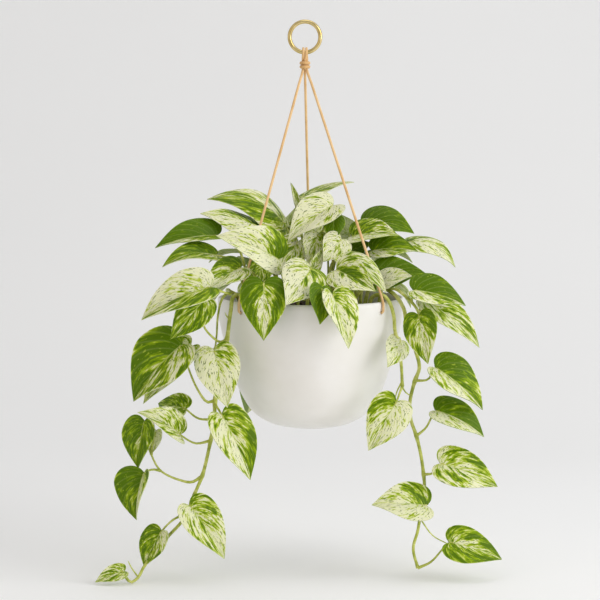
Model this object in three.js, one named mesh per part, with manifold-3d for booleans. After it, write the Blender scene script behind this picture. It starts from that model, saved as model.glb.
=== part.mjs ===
// Marble queen pothos in a ceramic bowl that hangs on leather cords from a brass ring.
// Millimetres, +Z up, seen from -Y. The origin is the top of the ring, where a hook carries it.
// The bowl and the plant are built round the middle of the rim and hang below as one group.

import * as THREE from "three";
import { mergeVertices } from "three/addons/utils/BufferGeometryUtils.js";
import Module from "manifold-3d";

const wasm = await Module();
wasm.setup();

// Driving dimensions
const CLEARANCE = 0.3;

const RING_OUTER_RADIUS = 19;
const RING_WIRE_RADIUS = 2.3;
const RING_WIRE_SIDES = 9;
const RING_SEGMENTS = 28;

const RIM_DEPTH = 303;
const BOWL_SHIFT_X = 6.4;
const BOWL_WALL = 4.5;
const BOWL_SEGMENTS = 32;

// The cords, and their way through the bowl: distances from its axis
const CORD_RADIUS = 1.4;
const CORD_SIDES = 8;
const CORD_LOOP_RADIUS = 4.4;
const CORD_LOOP_SHIFT = 1.7;
const CORD_CROSSING_DROP = 5.5;
const CORD_BEND_RADIUS = 2.2;
const CORD_BEND_DISTANCE = 101.9;
const CORD_RIM_DISTANCE = 103.9;
const KNOT_RADIUS = 4;
const KNOT_DISTANCE = 93;
const HOLE_RADIUS = 2;
const HOLE_SIDES = 8;
const HOLE_DEPTH = 11;
const HOLE_MIDDLE_DISTANCE = 98;
const DRILL_LENGTH = 20;
const FRONT_HOLE_AZIMUTH = 48;

const BINDING_TOP = -45.2;
const BINDING_BOTTOM = -53.5;
const BINDING_INNER_RADIUS = 3.9;
const BINDING_OUTER_RADIUS = 6;
const BINDING_ROUNDING = 1.1;
const BINDING_SLOT = 2.2;
const BINDING_SIDES = 14;
const CORD_OVERHANG = 0.8;

const SOIL_CROWN = -7;
const SOIL_EDGE = -17;
const SOIL_RADIUS = 97;
const SOIL_SLOPE_RADIUS = 53.35;
const STEM_SOCKET_DEPTH = 10;
const STEM_NECK = 1.5;

const STEM_RADIUS = 2.3;
const STEM_TIP_RADIUS = 1.6;
const STALK_RADIUS = 1.25;
const STALK_TIP_RADIUS = 0.9;
const STALK_POINT_RADIUS = 0.25;
const TENDRIL_RADIUS = 0.9;
const TENDRIL_TAPER = 0.7;
const BLADE_THICKNESS = 0.8;
const BLADE_CURL = 0.25;

const RING_CENTRE_Z = -RING_OUTER_RADIUS;
const RING_LINE_RADIUS = RING_OUTER_RADIUS - RING_WIRE_RADIUS;
const RING_BOTTOM_Z = RING_CENTRE_Z - RING_LINE_RADIUS;

// Outer profile of the bowl, radius and height from the middle of the foot up to the rim
const BOWL_FLAT_RADIUS = 26;
const BOWL_DEPTH = 143;
const BOWL_PROFILE = [
  [BOWL_FLAT_RADIUS, -BOWL_DEPTH], [46, -138], [64, -126.5], [75, -110],
  [81.5, -96], [92.5, -60], [100.8, -24], [102.3, -2.5],
];
const RIM_OUTER_RADIUS = 101.2;
const RIM_INNER_RADIUS = 98.6;
const LIP_INNER_RADIUS = 97.7;
const LIP_DEPTH = 1.5;
const WALL_TOP = -9;
const PROFILE_STATIONS = 9;

// Vectors, angles and curves

const point = (x, y, z) => new THREE.Vector3(x, y, z);
const radians = THREE.MathUtils.degToRad;

// A place round the bowl: the azimuth is 0 at the front, -Y, and grows towards +X
function around(azimuth, radius, height) {
  const angle = radians(azimuth);
  return [radius * Math.sin(angle), -radius * Math.cos(angle), height];
}

// A smooth line through the given places, with a station about every spacing millimetres
function smoothLine(places, spacing, least = 3) {
  const curve = new THREE.CatmullRomCurve3(places.map((p) => point(...p)), false, "centripetal");
  return curve.getSpacedPoints(Math.max(least, Math.round(curve.getLength() / spacing)));
}

// Solids

// A closed geometry as a solid, with its doubles merged and its faces turned outwards
function solidOf(geometry) {
  geometry.deleteAttribute("normal");
  geometry.deleteAttribute("uv");
  const merged = mergeVertices(geometry);
  const position = merged.attributes.position;
  const corners = merged.index.array;
  const faces = [];
  let volume = 0;
  const [a, b, c] = [point(0, 0, 0), point(0, 0, 0), point(0, 0, 0)];
  for (let i = 0; i < corners.length; i += 3) {
    const [u, v, w] = [corners[i], corners[i + 1], corners[i + 2]];
    if (u === v || v === w || w === u) continue;
    a.fromBufferAttribute(position, u);
    b.fromBufferAttribute(position, v);
    c.fromBufferAttribute(position, w);
    volume += a.dot(b.cross(c));
    faces.push([u, v, w]);
  }
  const outward = volume > 0 ? faces : faces.map(([u, v, w]) => [u, w, v]);
  return new wasm.Manifold(new wasm.Mesh({
    numProp: 3,
    vertProperties: Float32Array.from(position.array),
    triVerts: Uint32Array.from(outward.flat()),
  }));
}

// The solid's triangles as a geometry for a mesh
function geometryOf(solid) {
  const mesh = solid.getMesh();
  const geometry = new THREE.BufferGeometry();
  geometry.setAttribute("position", new THREE.BufferAttribute(mesh.vertProperties, 3));
  geometry.setIndex(new THREE.BufferAttribute(mesh.triVerts, 1));
  geometry.computeVertexNormals();
  return geometry;
}

function joined(solids) {
  return solids.reduce((whole, piece) => whole.add(piece));
}

// A solid of revolution about Z from a profile of radius and height
function turned(profile, segments) {
  const geometry = new THREE.LatheGeometry(profile.map(([r, z]) => new THREE.Vector2(r, z)), segments);
  return solidOf(geometry.rotateX(Math.PI / 2));
}

// A place on the line and two directions across it at each station, carried along without twist
function framesAlong(stations) {
  const frames = [];
  let across = null;
  let before = null;
  stations.forEach((place, i) => {
    const ahead = stations[Math.min(i + 1, stations.length - 1)];
    const behind = stations[Math.max(i - 1, 0)];
    const along = point(0, 0, 0).subVectors(ahead, behind).normalize();
    if (across === null) {
      const helper = Math.abs(along.z) < 0.9 ? point(0, 0, 1) : point(1, 0, 0);
      across = point(0, 0, 0).crossVectors(helper, along).normalize();
    } else {
      const turn = new THREE.Quaternion().setFromUnitVectors(before, along);
      across = across.clone().applyQuaternion(turn).normalize();
    }
    before = along;
    frames.push({ place, across, above: point(0, 0, 0).crossVectors(along, across) });
  });
  return frames;
}

// A closed round rod along the stations: a straight prism, one unit a step, bent onto the line
function rod(stations, startRadius, endRadius, sides, pointRadius = endRadius) {
  const steps = stations.length - 1;
  const circle = new THREE.EllipseCurve(0, 0, 1, 1, 0, 2 * Math.PI);
  const section = new THREE.Shape(circle.getPoints(sides).slice(0, sides));
  const prism = new THREE.ExtrudeGeometry(section, { depth: steps, steps, bevelEnabled: false });
  const frames = framesAlong(stations);
  const position = prism.attributes.position;
  for (let i = 0; i < position.count; i += 1) {
    const step = Math.round(position.getZ(i));
    const radius = step === steps ? pointRadius : THREE.MathUtils.lerp(startRadius, endRadius, step / steps);
    const { place, across, above } = frames[step];
    const bent = place.clone()
      .addScaledVector(across, radius * position.getX(i))
      .addScaledVector(above, radius * position.getY(i));
    position.setXYZ(i, bent.x, bent.y, bent.z);
  }
  return solidOf(prism);
}

// Leaf blades

// Half the heart outline as two Bezier pieces: x in half widths, y in lengths from the stalk
const LOBE = [[0, 0], [0.26, -0.14], [1, -0.12], [1, 0.24]];
const FLANK = [[1, 0.24], [1, 0.5], [0.36, 0.79], [0, 1]];
const LOBE_SHARE = 0.45;
const RIB_POWER = 2.6;
const BLADE_COLUMNS = 2;
const FINE_ROWS = [0, 0.18, 0.36, 0.54, 0.74, 1];
const PLAIN_ROWS = [0, 0.2, 0.46, 0.72, 1];
const WIDE_BLADE = 48;

function bezier(corners, u) {
  const [p, q, r, s] = corners.map(([x, y]) => new THREE.Vector2(x, y));
  return new THREE.CubicBezierCurve(p, q, r, s).getPoint(u);
}

function outlineAt(t) {
  return t < LOBE_SHARE ? bezier(LOBE, t / LOBE_SHARE)
    : bezier(FLANK, (t - LOBE_SHARE) / (1 - LOBE_SHARE));
}

// The blade's own directions: along the midrib, across it, and out of its face
function bladeFrame(leaf) {
  const base = point(...leaf.base);
  const along = point(...leaf.tip).sub(base);
  const length = along.length();
  along.normalize();
  const facing = point(0, -1, 0);
  facing.addScaledVector(along, -facing.dot(along)).normalize();
  const sideways = point(0, 0, 0).crossVectors(along, facing);
  const roll = radians(leaf.roll);
  const out = facing.multiplyScalar(Math.cos(roll)).addScaledVector(sideways, Math.sin(roll));
  const side = point(0, 0, 0).crossVectors(along, out);
  return { base, along, side, out, length };
}

// A place on the blade: t from stalk to tip, v from -1 to 1 across, lift out of the face.
// The halves fold up from the midrib, sag a little towards the edge, and the midrib bows.
function bladePoint(leaf, frame, t, v, lift) {
  const half = Math.abs(v);
  const edge = outlineAt(t);
  const rib = t ** RIB_POWER;
  const reach = rib + (edge.y - rib) * half;
  const halfWidth = leaf.width / 2;
  const spread = edge.x * halfWidth * half;
  const fold = radians(leaf.fold);
  const bow = leaf.arc * frame.length * 4 * reach * (1 - reach);
  const rise = spread * Math.sin(fold) - BLADE_CURL * spread ** 2 / halfWidth;
  const tilt = spread > 0.01 ? fold : 0;
  const leanOut = lift * Math.cos(tilt);
  const leanIn = -lift * Math.sin(tilt);
  return frame.base.clone()
    .addScaledVector(frame.along, reach * frame.length)
    .addScaledVector(frame.side, Math.sign(v) * (spread * Math.cos(fold) + leanIn))
    .addScaledVector(frame.out, rise + bow + leanOut);
}

// The blade as a thin closed solid: one grid for both faces, split alike, and a wall round the edge
function blade(leaf, rows) {
  const frame = bladeFrame(leaf);
  const grid = new THREE.PlaneGeometry(2, 1, BLADE_COLUMNS, rows.length - 1);
  const columns = BLADE_COLUMNS + 1;
  const count = rows.length * columns;
  const places = [];
  for (const lift of [BLADE_THICKNESS / 2, -BLADE_THICKNESS / 2]) {
    rows.forEach((t) => {
      for (let k = 0; k < columns; k += 1) {
        places.push(...bladePoint(leaf, frame, t, (2 * k) / BLADE_COLUMNS - 1, lift).toArray());
      }
    });
  }
  const faces = [];
  const front = Array.from(grid.index.array);
  for (let i = 0; i < front.length; i += 3) {
    const [u, v, w] = front.slice(i, i + 3);
    faces.push(u, v, w, u + count, w + count, v + count);
  }
  for (let row = 0; row < rows.length - 1; row += 1) {
    const left = row * columns;
    const right = left + BLADE_COLUMNS;
    faces.push(left + columns, left, left + count);
    faces.push(left + columns, left + count, left + columns + count);
    faces.push(right, right + columns, right + count);
    faces.push(right + columns, right + columns + count, right + count);
  }
  const geometry = new THREE.BufferGeometry();
  geometry.setAttribute("position", new THREE.Float32BufferAttribute(places, 3));
  geometry.setIndex(faces);
  return solidOf(geometry);
}

// Leafy stems

const STEM_SIDES = 5;
const STALK_SIDES = 3;
const SOCKET_SIDES = 6;
const STEM_SPACING = 16;
const STALK_SPACING = 15;
const STALK_SINK = 4;
const STALK_LIFT = 0.16;
const STALK_SETBACK = 0.1;

function soilHeight(x, y) {
  return SOIL_CROWN + (SOIL_EDGE - SOIL_CROWN) * (Math.hypot(x, y) / SOIL_RADIUS) ** 2;
}

// The line of a leaf stalk from its node on the stem into the midrib of the blade
function stalkLine(leaf, node) {
  const frame = bladeFrame(leaf);
  const { base, along, length } = frame;
  const start = point(...(leaf.from ?? node));
  const reach = start.distanceTo(base);
  const middle = start.clone().add(base).multiplyScalar(0.5)
    .add(point(0, 0, STALK_LIFT * reach)).addScaledVector(along, -STALK_SETBACK * reach);
  const end = bladePoint(leaf, frame, (STALK_SINK / length) ** (1 / RIB_POWER), 0, 0);
  const via = leaf.via ?? [middle.toArray()];
  const line = smoothLine([start.toArray(), ...via, base.toArray()], STALK_SPACING);
  return [...line, end];
}

// One leafy stem: it stands upright in its hole in the soil and then follows its route.
// On a short crown stem the first leaf's stalk is the end of the stem itself.
function leafyStem(plan) {
  const [x, y] = plan.root;
  const surface = soilHeight(x, y);
  const foot = point(x, y, surface - STEM_SOCKET_DEPTH);
  const node = plan.route[plan.route.length - 1];
  const onward = plan.vine ? [] : stalkLine(plan.leaves[0], node).slice(1);
  const line = smoothLine([[x, y, surface + STEM_NECK], ...plan.route], STEM_SPACING, 1);
  const stem = plan.vine ? rod([foot, ...line], STEM_RADIUS, STEM_TIP_RADIUS, STEM_SIDES)
    : rod([foot, ...line, ...onward], STEM_RADIUS, STALK_TIP_RADIUS, STEM_SIDES, STALK_POINT_RADIUS);
  const stalks = plan.leaves.slice(plan.vine ? 0 : 1).map((leaf) => (
    rod(stalkLine(leaf, node), STALK_RADIUS, STALK_TIP_RADIUS, STALK_SIDES, STALK_POINT_RADIUS)));
  const side = (plan.tendrils ?? []).map((places) => (
    rod(smoothLine(places, STALK_SPACING), TENDRIL_RADIUS, TENDRIL_RADIUS * TENDRIL_TAPER, STALK_SIDES)));
  const branches = (plan.branches ?? []).map((places) => (
    rod(smoothLine(places, STEM_SPACING), STEM_TIP_RADIUS, STEM_TIP_RADIUS, STALK_SIDES)));
  const blades = plan.leaves.map((leaf) => blade(leaf, leaf.width < WIDE_BLADE ? PLAIN_ROWS : FINE_ROWS));
  return joined([stem, ...side, ...branches, ...stalks, ...blades]);
}

// A leaf: stalk end, tip, width, roll about the midrib, fold of the halves, bow of the midrib.
// from is its node on the stem where that isn't the stem's end, via the places its stalk passes.
function leaf(base, tip, width, roll, fold, arc, from, via) {
  return { base, tip, width, roll, fold, arc, from, via };
}

// The photograph's camera, from the top of the ring: it stands in front and looks down a little.
// Pixels are those of the photograph of 600 by 600, and the focal length is in pixels too.
const CAMERA_X = -5.4;
const CAMERA_DISTANCE = 2600;
const CAMERA_HEIGHT = -70.06;
const CAMERA_PITCH = 5.2;
const FOCAL_PX = 2373;
const PHOTO_MIDDLE_PX = 300;

// A place in the plans, in whole millimetres: a pixel picked in the photograph, and its y by guess
function seen(pixelX, pixelY, y) {
  const across = (pixelX - PHOTO_MIDDLE_PX) / FOCAL_PX;
  const rise = (PHOTO_MIDDLE_PX - pixelY) / FOCAL_PX;
  const pitch = radians(CAMERA_PITCH);
  const ahead = Math.cos(pitch) + Math.sin(pitch) * rise;
  const upward = Math.cos(pitch) * rise - Math.sin(pitch);
  const reach = (y + CAMERA_DISTANCE) / ahead;
  const x = CAMERA_X + across * reach - BOWL_SHIFT_X;
  const z = CAMERA_HEIGHT + upward * reach + RIM_DEPTH;
  return [Math.round(x), y, Math.round(z)];
}

const VINES = [
  {
    name: "vine_left_long",
    root: [-62, -40],
    vine: true,
    route: [
      [-68, -46, 3], [-83, -61, 6], [-86, -71, -9], [-88, -74, -24], seen(227, 339, -74),
      seen(219, 366, -72), seen(215, 400, -72), seen(214, 419, -72), seen(211, 441, -72),
      seen(207, 458, -72), seen(202, 476, -72), seen(194, 496, -72), seen(190, 510, -73),
      seen(180, 524, -74), seen(168, 536, -74), seen(158, 550, -76), seen(144, 567, -80),
      seen(138, 577, -82), seen(131, 582, -84), [-201, -84, -293],
    ],
    tendrils: [
      [[-86, -73, -19], [-90, -74, -15], [-92, -75, -10]],
      [seen(138, 577, -82), [-193, -82, -286], [-197, -82, -278]],
    ],
    leaves: [
      leaf(seen(182, 345, -80), [-190, -78, -106], 82, 34, 34, 0.1, seen(215, 400, -72),
        [seen(208, 402, -74), seen(198, 390, -76), [-132, -76, -68]]),
      leaf(seen(190, 347, -62), seen(143, 404, -58), 42, 30, 30, 0.06, [-100, -72, -75],
        [[-114, -66, -62]]),
      leaf(seen(204, 299, -98), seen(170, 339, -104), 40, 0, 14, 0.05, seen(227, 339, -74),
        [[-97, -84, -41], [-105, -90, -35], [-113, -93, -25], [-116, -92, -12]]),
      leaf(seen(185, 409, -70), seen(158, 403, -40), 34, 38, 22, 0.06, seen(214, 419, -72),
        [[-121, -72, -125]]),
      leaf(seen(179, 434, -84), seen(137, 412, -110), 46, 46, 38, 0.1, seen(211, 441, -72),
        [[-124, -78, -151]]),
      leaf(seen(144, 421, -72), seen(138, 468, -72), 48, 30, 34, 0.06, seen(202, 476, -72),
        [seen(192, 482, -72), seen(180, 480, -72), seen(161, 471, -70), seen(151, 455, -68),
          seen(146, 438, -68)]),
      leaf(seen(156, 431, -66), seen(151, 455, -64), 17, 0, 20, 0, seen(151, 455, -68),
        [[-171, -68, -152]]),
      leaf(seen(144, 473, -80), seen(137, 520, -86), 68, 44, 44, 0.08, seen(161, 471, -70),
        [[-171, -75, -180]]),
      leaf(seen(222, 416, -86), seen(250, 480, -90), 58, -30, 30, 0.06, [-104, -72, -108],
        [[-99, -80, -114]]),
      leaf(seen(190, 506, -84), seen(224, 559, -88), 54, -34, 30, 0.05, seen(194, 496, -72),
        [[-129, -79, -212]]),
      leaf(seen(161, 532, -78), seen(144, 567, -76), 40, 30, 34, 0.05, [-134, -73, -228],
        [[-149, -75, -235]]),
      leaf(seen(124, 571, -84), seen(95, 582, -90), 24, 34, 30, 0.08, [-201, -84, -293],
        [[-202, -84, -291]]),
    ],
  },
  {
    name: "vine_left_short",
    root: [-74, -32],
    vine: true,
    route: [[-80, -36, 4], [-88, -46, 10], [-90, -64, 13], [-86, -88, 11]],
    leaves: [
      leaf(seen(209, 288, -116), seen(141, 320, -112), 60, 38, 38, 0.1, [-86, -88, 11],
        [[-93, -102, 14]]),
      leaf(seen(214, 350, -92), seen(227, 408, -96), 50, -4, 12, 0.05, [-88, -50, 11],
        [[-96, -56, 2], [-100, -62, -15], [-101, -73, -34], [-102, -84, -45]]),
    ],
  },
  {
    name: "vine_right_long",
    root: [58, -24],
    vine: true,
    route: [
      [64, -28, 12], [72, -36, 18], [82, -45, 12], [91, -50, 6], seen(404, 309, -55), [103, -56, -25],
      seen(411, 338, -56), seen(416, 351, -56), seen(419, 368, -56), seen(415, 382, -56),
      seen(410, 402, -57), seen(411, 419, -58), seen(416, 436, -58), [119, -58, -167],
      seen(424, 474, -58), seen(424, 486, -58), seen(422, 505, -59), seen(418, 530, -60),
      seen(413, 549, -61), seen(418, 568, -62),
    ],
    branches: [
      [[82, -45, 12], [91, -54, 13], [99, -62, 8], seen(412, 302, -66), seen(417, 310, -68),
        [117, -70, -17]],
    ],
    tendrils: [[seen(421, 519, -60), seen(433, 536, -64), [149, -67, -263]]],
    leaves: [
      leaf(seen(414, 290, -70), seen(466, 306, -66), 50, -48, 42, 0.08, seen(412, 302, -66),
        [[108, -69, 7]]),
      leaf(seen(426, 301, -52), seen(479, 348, -50), 48, -45, 38, 0.08, [116, -68, -12],
        [[119, -61, -4]]),
      leaf(seen(419, 316, -84), seen(428, 364, -100), 41, 20, 26, 0.05, [116, -69, -14],
        [[116, -77, -11]]),
      leaf(seen(436, 368, -66), seen(483, 410, -64), 60, -46, 44, 0.08, [113, -56, -86],
        [[126, -62, -84]]),
      leaf(seen(436, 411, -62), seen(484, 437, -60), 52, -50, 42, 0.09, seen(416, 436, -58),
        [[124, -60, -137]]),
      leaf(seen(441, 464, -66), seen(498, 487, -62), 54, -36, 34, 0.07, seen(424, 474, -58),
        [[132, -62, -186]]),
      leaf(seen(426, 506, -76), seen(372, 505, -84), 58, 44, 38, 0.06, [121, -59, -214],
        [[124, -67, -213]]),
      leaf(seen(450, 543, -68), seen(502, 560, -66), 48, -36, 32, 0.07, seen(418, 568, -62),
        [[130, -64, -283]]),
    ],
  },
  {
    name: "vine_right_short",
    root: [62, -48],
    vine: true,
    route: [
      [66, -52, 4], [77, -61, 7], [84, -65, 0], seen(394, 317, -66), seen(395, 330, -66),
      seen(398, 345, -64), seen(401, 364, -66), seen(402, 386, -72),
    ],
    tendrils: [
      [[97, -71, -86], [92, -74, -96], [90, -75, -104]],
      [seen(402, 386, -72), [101, -73, -96], [108, -73, -101]],
    ],
    leaves: [
      leaf(seen(400, 341, -66), seen(387, 368, -96), 29, -8, 10, 0.05, [93, -64, -41], [[96, -62, -39]]),
      leaf(seen(396, 402, -88), seen(368, 451, -92), 48, 10, 14, 0.05, seen(402, 386, -72),
        [[95, -80, -96]]),
    ],
  },
];

const CROWN = [
  {
    name: "crown_left_top", root: [-22, 18], route: [[-24, 18, 40]],
    leaves: [
      leaf(seen(284, 224, 20), seen(207, 199, 0), 58, 57, 2, 0.19),
      leaf(seen(278, 230, 10), seen(250, 221, 30), 34, 60, 20, 0.05),
    ],
  },
  {
    name: "crown_left_high", root: [-48, -4], route: [[-50, -6, 40]],
    leaves: [leaf(seen(256, 226, -14), [-120, -30, 93], 44, 58, 0, 0.06)],
  },
  {
    name: "crown_left_outer", root: [-60, -14], route: [[-70, -18, 28]],
    leaves: [leaf(seen(217, 236, -30), seen(155, 248, -50), 50, 48, 42, 0.08)],
  },
  {
    name: "crown_left_front", root: [-30, -46], route: [[-31, -50, 14]],
    leaves: [leaf([-36, -60, 46], [-101, -90, 73], 60, 32, 34, 0.1)],
  },
  {
    name: "crown_left_low", root: [-66, -26], route: [[-74, -34, 18]],
    leaves: [leaf(seen(214, 255, -58), seen(162, 267, -74), 42, 60, 24, 0.15)],
  },
  {
    name: "crown_left_inner", root: [-48, -50], route: [[-54, -60, 10]],
    leaves: [leaf([-75, -72, 37], [-115, -98, 13], 42, 34, 30, 0.08)],
  },
  {
    name: "crown_front_left", root: [-32, -68], route: [[-36, -76, 6]],
    leaves: [leaf(seen(264, 283, -106), seen(264, 341, -120), 52, 0, 12, 0.05)],
  },
  {
    name: "crown_front_middle", root: [-4, -42], route: [[-3, -44, 8]],
    leaves: [
      leaf([0, -80, 37], [-27, -127, 2], 52, 8, 8, 0.08),
      leaf([1, -50, 30], [14, -38, 58], 16, 20, 20, 0),
    ],
  },
  {
    name: "crown_front_right", root: [14, -70], route: [[15, -79, 8]],
    leaves: [
      leaf([11, -110, 19], [9, -128, -18], 34, -35, 12, 0.04, undefined, [[15, -90, 8], [14, -101, 11]]),
      leaf([22, -110, 12], [39, -124, -44], 54, -42, 34, 0.04, undefined, [[19, -94, 9], [21, -103, 11]]),
    ],
  },
  {
    name: "crown_top_middle", root: [6, 4], route: [[6, 4, 52]],
    leaves: [
      leaf(seen(333, 206, 0), seen(288, 242, -24), 56, 36, 34, 0.08),
      leaf(seen(301, 212, 10), seen(291, 183, 10), 12, 10, 44, 0.02),
    ],
  },
  {
    name: "crown_inner_left", root: [-46, -18], route: [[-47, -18, 12]],
    leaves: [leaf([-52, -22, 40], [-60, -48, 8], 34, 14, 20, 0.06)],
  },
  {
    name: "crown_inner_front", root: [-14, -14], route: [[-14, -14, 20]],
    leaves: [
      leaf([-14, -12, 62], [-32, -28, 24], 38, 10, 22, 0.06),
      leaf([8, -16, 70], [-4, -32, 38], 32, -5, 20, 0.06),
    ],
  },
  {
    name: "crown_inner_right", root: [36, -18], route: [[38, -18, 14]],
    leaves: [leaf([44, -18, 44], [54, -44, 12], 34, -14, 20, 0.06)],
  },
  {
    name: "crown_top_back", root: [-8, 32], route: [[-8, 30, 56]],
    leaves: [
      leaf(seen(302, 197, 30), seen(354, 182, 20), 44, -80, 12, 0.04),
      leaf([16, 24, 80], [12, 14, 40], 36, 0, 16, 0.05),
    ],
  },
  {
    name: "crown_inner_back", root: [-30, 40], route: [[-30, 40, 30]],
    leaves: [
      leaf([-31, 41, 60], [-16, 43, 97], 28, 150, 20, 0.04),
      leaf([-27, 37, 77], [-30, 30, 42], 30, 0, 16, 0.05),
    ],
  },
  {
    name: "crown_right_top", root: [34, 4], route: [[37, 3, 34]],
    leaves: [
      leaf(seen(353, 236, -6), seen(398, 235, -20), 52, -58, 40, 0.06),
      leaf(seen(350, 238, 14), seen(341, 214, 30), 28, 160, 10, 0.04),
    ],
  },
  {
    name: "crown_right_back", root: [46, 26], route: [[46, 25, 30]],
    leaves: [
      leaf(seen(364, 224, 20), seen(414, 234, 6), 54, -50, 34, 0.14),
      leaf(seen(346, 254, 20), seen(371, 243, 20), 30, -40, 20, 0.04),
    ],
  },
  {
    name: "crown_right_middle", root: [54, -8], route: [[57, -8, 22]],
    leaves: [leaf(seen(373, 251, -6), seen(418, 251, -14), 46, -50, 42, 0.08)],
  },
  {
    name: "crown_right_outer", root: [74, 2], route: [[82, 3, 24]],
    leaves: [leaf([109, 9, 60], [159, 2, 32], 40, -60, 6, 0.2)],
  },
  {
    name: "crown_right_low", root: [46, -34], route: [[50, -36, 4]],
    leaves: [
      leaf(seen(374, 280, -30), seen(426, 274, -34), 52, -46, 40, 0.08),
      leaf(seen(380, 283, -44), seen(412, 276, -52), 34, -50, 34, 0.08),
    ],
  },
  {
    name: "crown_right_front", root: [24, -46], route: [[26, -48, 6]],
    leaves: [
      leaf([28, -76, 35], [68, -107, 15], 46, -20, 26, 0.08),
      leaf([37, -57, 47], [80, -90, 12], 36, -46, 18, 0.1),
    ],
  },
  {
    name: "crown_right_inner", root: [22, -14], route: [[24, -16, 30]],
    leaves: [
      leaf([33, -27, 65], [13, -50, 42], 34, 5, 12, 0.05),
      leaf(seen(334, 218, -6), seen(334, 241, -30), 26, 0, 15, 0.05),
    ],
  },
];

// The back of the crown, which repeats three kinds of leaf round the rear of the bowl.
// Each stem lists the azimuths of its low, middle and high leaves.
const BACK_STEMS = [
  { azimuth: 112, low: 118, middle: 106, rise: 7 },
  { azimuth: 136, low: 142, middle: 130, high: 128, rise: -7 },
  { azimuth: 158, middle: 154, high: 156, rise: 4 },
  { azimuth: 202, middle: 206, high: 204, rise: 4 },
  { azimuth: 224, low: 218, middle: 230, high: 232, rise: -7 },
  { azimuth: 248, low: 242, middle: 254, rise: 7 },
];
const BACK_TIERS = {
  low: { stalk: [80, 20], tip: [128, -18], width: 46, arc: 0.1 },
  middle: { stalk: [66, 36], tip: [118, 28], width: 46, arc: 0.14 },
  high: { stalk: [60, 62], tip: [110, 58], width: 44, arc: 0.14 },
};
const BACK_ROOT_RADIUS = 54;
const BACK_NODE_HEIGHT = 12;
const BACK_FOLD = 26;

// The short vines behind the bowl: radius and height of the route and of the leaves' nodes
const BACK_VINES = [{ azimuth: 160, side: 1 }, { azimuth: 200, side: -1 }];
const BACK_VINE_ROOT_RADIUS = 62;
const BACK_VINE_ROUTE = [[70, 2], [88, 8], [103, 6], [112, -12], [114, -44], [113, -78], [109, -104]];
const BACK_VINE_NODES = [[113, -30], [114, -60], [109, -104]];

// A leaf that points away from the bowl's axis with its face up
function outwardLeaf(azimuth, stalk, tip, width, arc) {
  const upward = 90 - Math.abs(180 - azimuth);
  const roll = azimuth < 180 ? -90 - upward / 2 : 90 + upward / 2;
  return leaf(around(azimuth, ...stalk), around(azimuth, ...tip), width, roll, BACK_FOLD, arc);
}

function backStem(stem, i) {
  const leaves = Object.entries(BACK_TIERS).filter(([tier]) => stem[tier]).map(([tier, shape]) => {
    const rise = tier === "low" ? 0 : stem.rise;
    const [stalk, tip] = [shape.stalk, shape.tip].map(([radius, height]) => [radius, height + rise]);
    return outwardLeaf(stem[tier], stalk, tip, shape.width, shape.arc);
  });
  return {
    name: `crown_back_${i + 1}`,
    root: around(stem.azimuth, BACK_ROOT_RADIUS, 0).slice(0, 2),
    route: [around(stem.azimuth, BACK_ROOT_RADIUS, BACK_NODE_HEIGHT)],
    leaves,
  };
}

// A short vine behind the bowl, with leaves to both sides
function backVine({ azimuth, side }, i) {
  const leaves = BACK_VINE_NODES.map(([radius, height], k) => {
    const turn = side * (k % 2 === 0 ? -9 : 9);
    const from = around(azimuth, radius, height);
    const base = around(azimuth + turn, radius + 12, height + 6);
    const tip = around(azimuth + 1.6 * turn, radius + 22, height - 42);
    return leaf(base, tip, 42, 180, 20, 0.06, from, [around(azimuth + turn / 2, radius + 5, height + 6)]);
  });
  return {
    name: `vine_back_${i + 1}`,
    root: around(azimuth, BACK_VINE_ROOT_RADIUS, 0).slice(0, 2),
    route: BACK_VINE_ROUTE.map(([radius, height]) => around(azimuth, radius, height)),
    vine: true,
    leaves,
  };
}

// Bowl and soil

// The outer profile moved inwards by the given distance, from the foot to the rim
function profileInside(distance) {
  const curve = new THREE.SplineCurve(BOWL_PROFILE.map(([r, z]) => new THREE.Vector2(r, z)));
  const places = [];
  for (let i = 0; i <= PROFILE_STATIONS; i += 1) {
    const place = curve.getPoint(i / PROFILE_STATIONS);
    const tangent = curve.getTangent(i / PROFILE_STATIONS);
    places.push([place.x - tangent.y * distance, place.y + tangent.x * distance]);
  }
  return places;
}

// The radius of a profile that rises with its radius, at the given height
function radiusAt(profile, height) {
  const above = profile.findIndex(([, z]) => z > height);
  const [[r0, z0], [r1, z1]] = profile.slice(above - 1, above + 1);
  return THREE.MathUtils.mapLinear(height, z0, z1, r0, r1);
}

function bowl() {
  const floor = BOWL_WALL - BOWL_DEPTH;
  const inside = profileInside(BOWL_WALL).filter(([, z]) => z < WALL_TOP && z > floor);
  const body = turned([
    [0, -BOWL_DEPTH], ...profileInside(0), [RIM_OUTER_RADIUS, 0], [RIM_INNER_RADIUS, 0],
    [LIP_INNER_RADIUS, -LIP_DEPTH], ...inside.reverse(), [BOWL_FLAT_RADIUS, floor], [0, floor],
  ], BOWL_SEGMENTS);
  return [-FRONT_HOLE_AZIMUTH, FRONT_HOLE_AZIMUTH, 180].reduce((cut, azimuth) => {
    const drill = new THREE.CylinderGeometry(HOLE_RADIUS, HOLE_RADIUS, DRILL_LENGTH, HOLE_SIDES);
    drill.translate(0, -HOLE_MIDDLE_DISTANCE, 0).rotateZ(radians(azimuth)).translate(0, 0, -HOLE_DEPTH);
    return cut.subtract(solidOf(drill));
  }, body);
}

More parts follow.
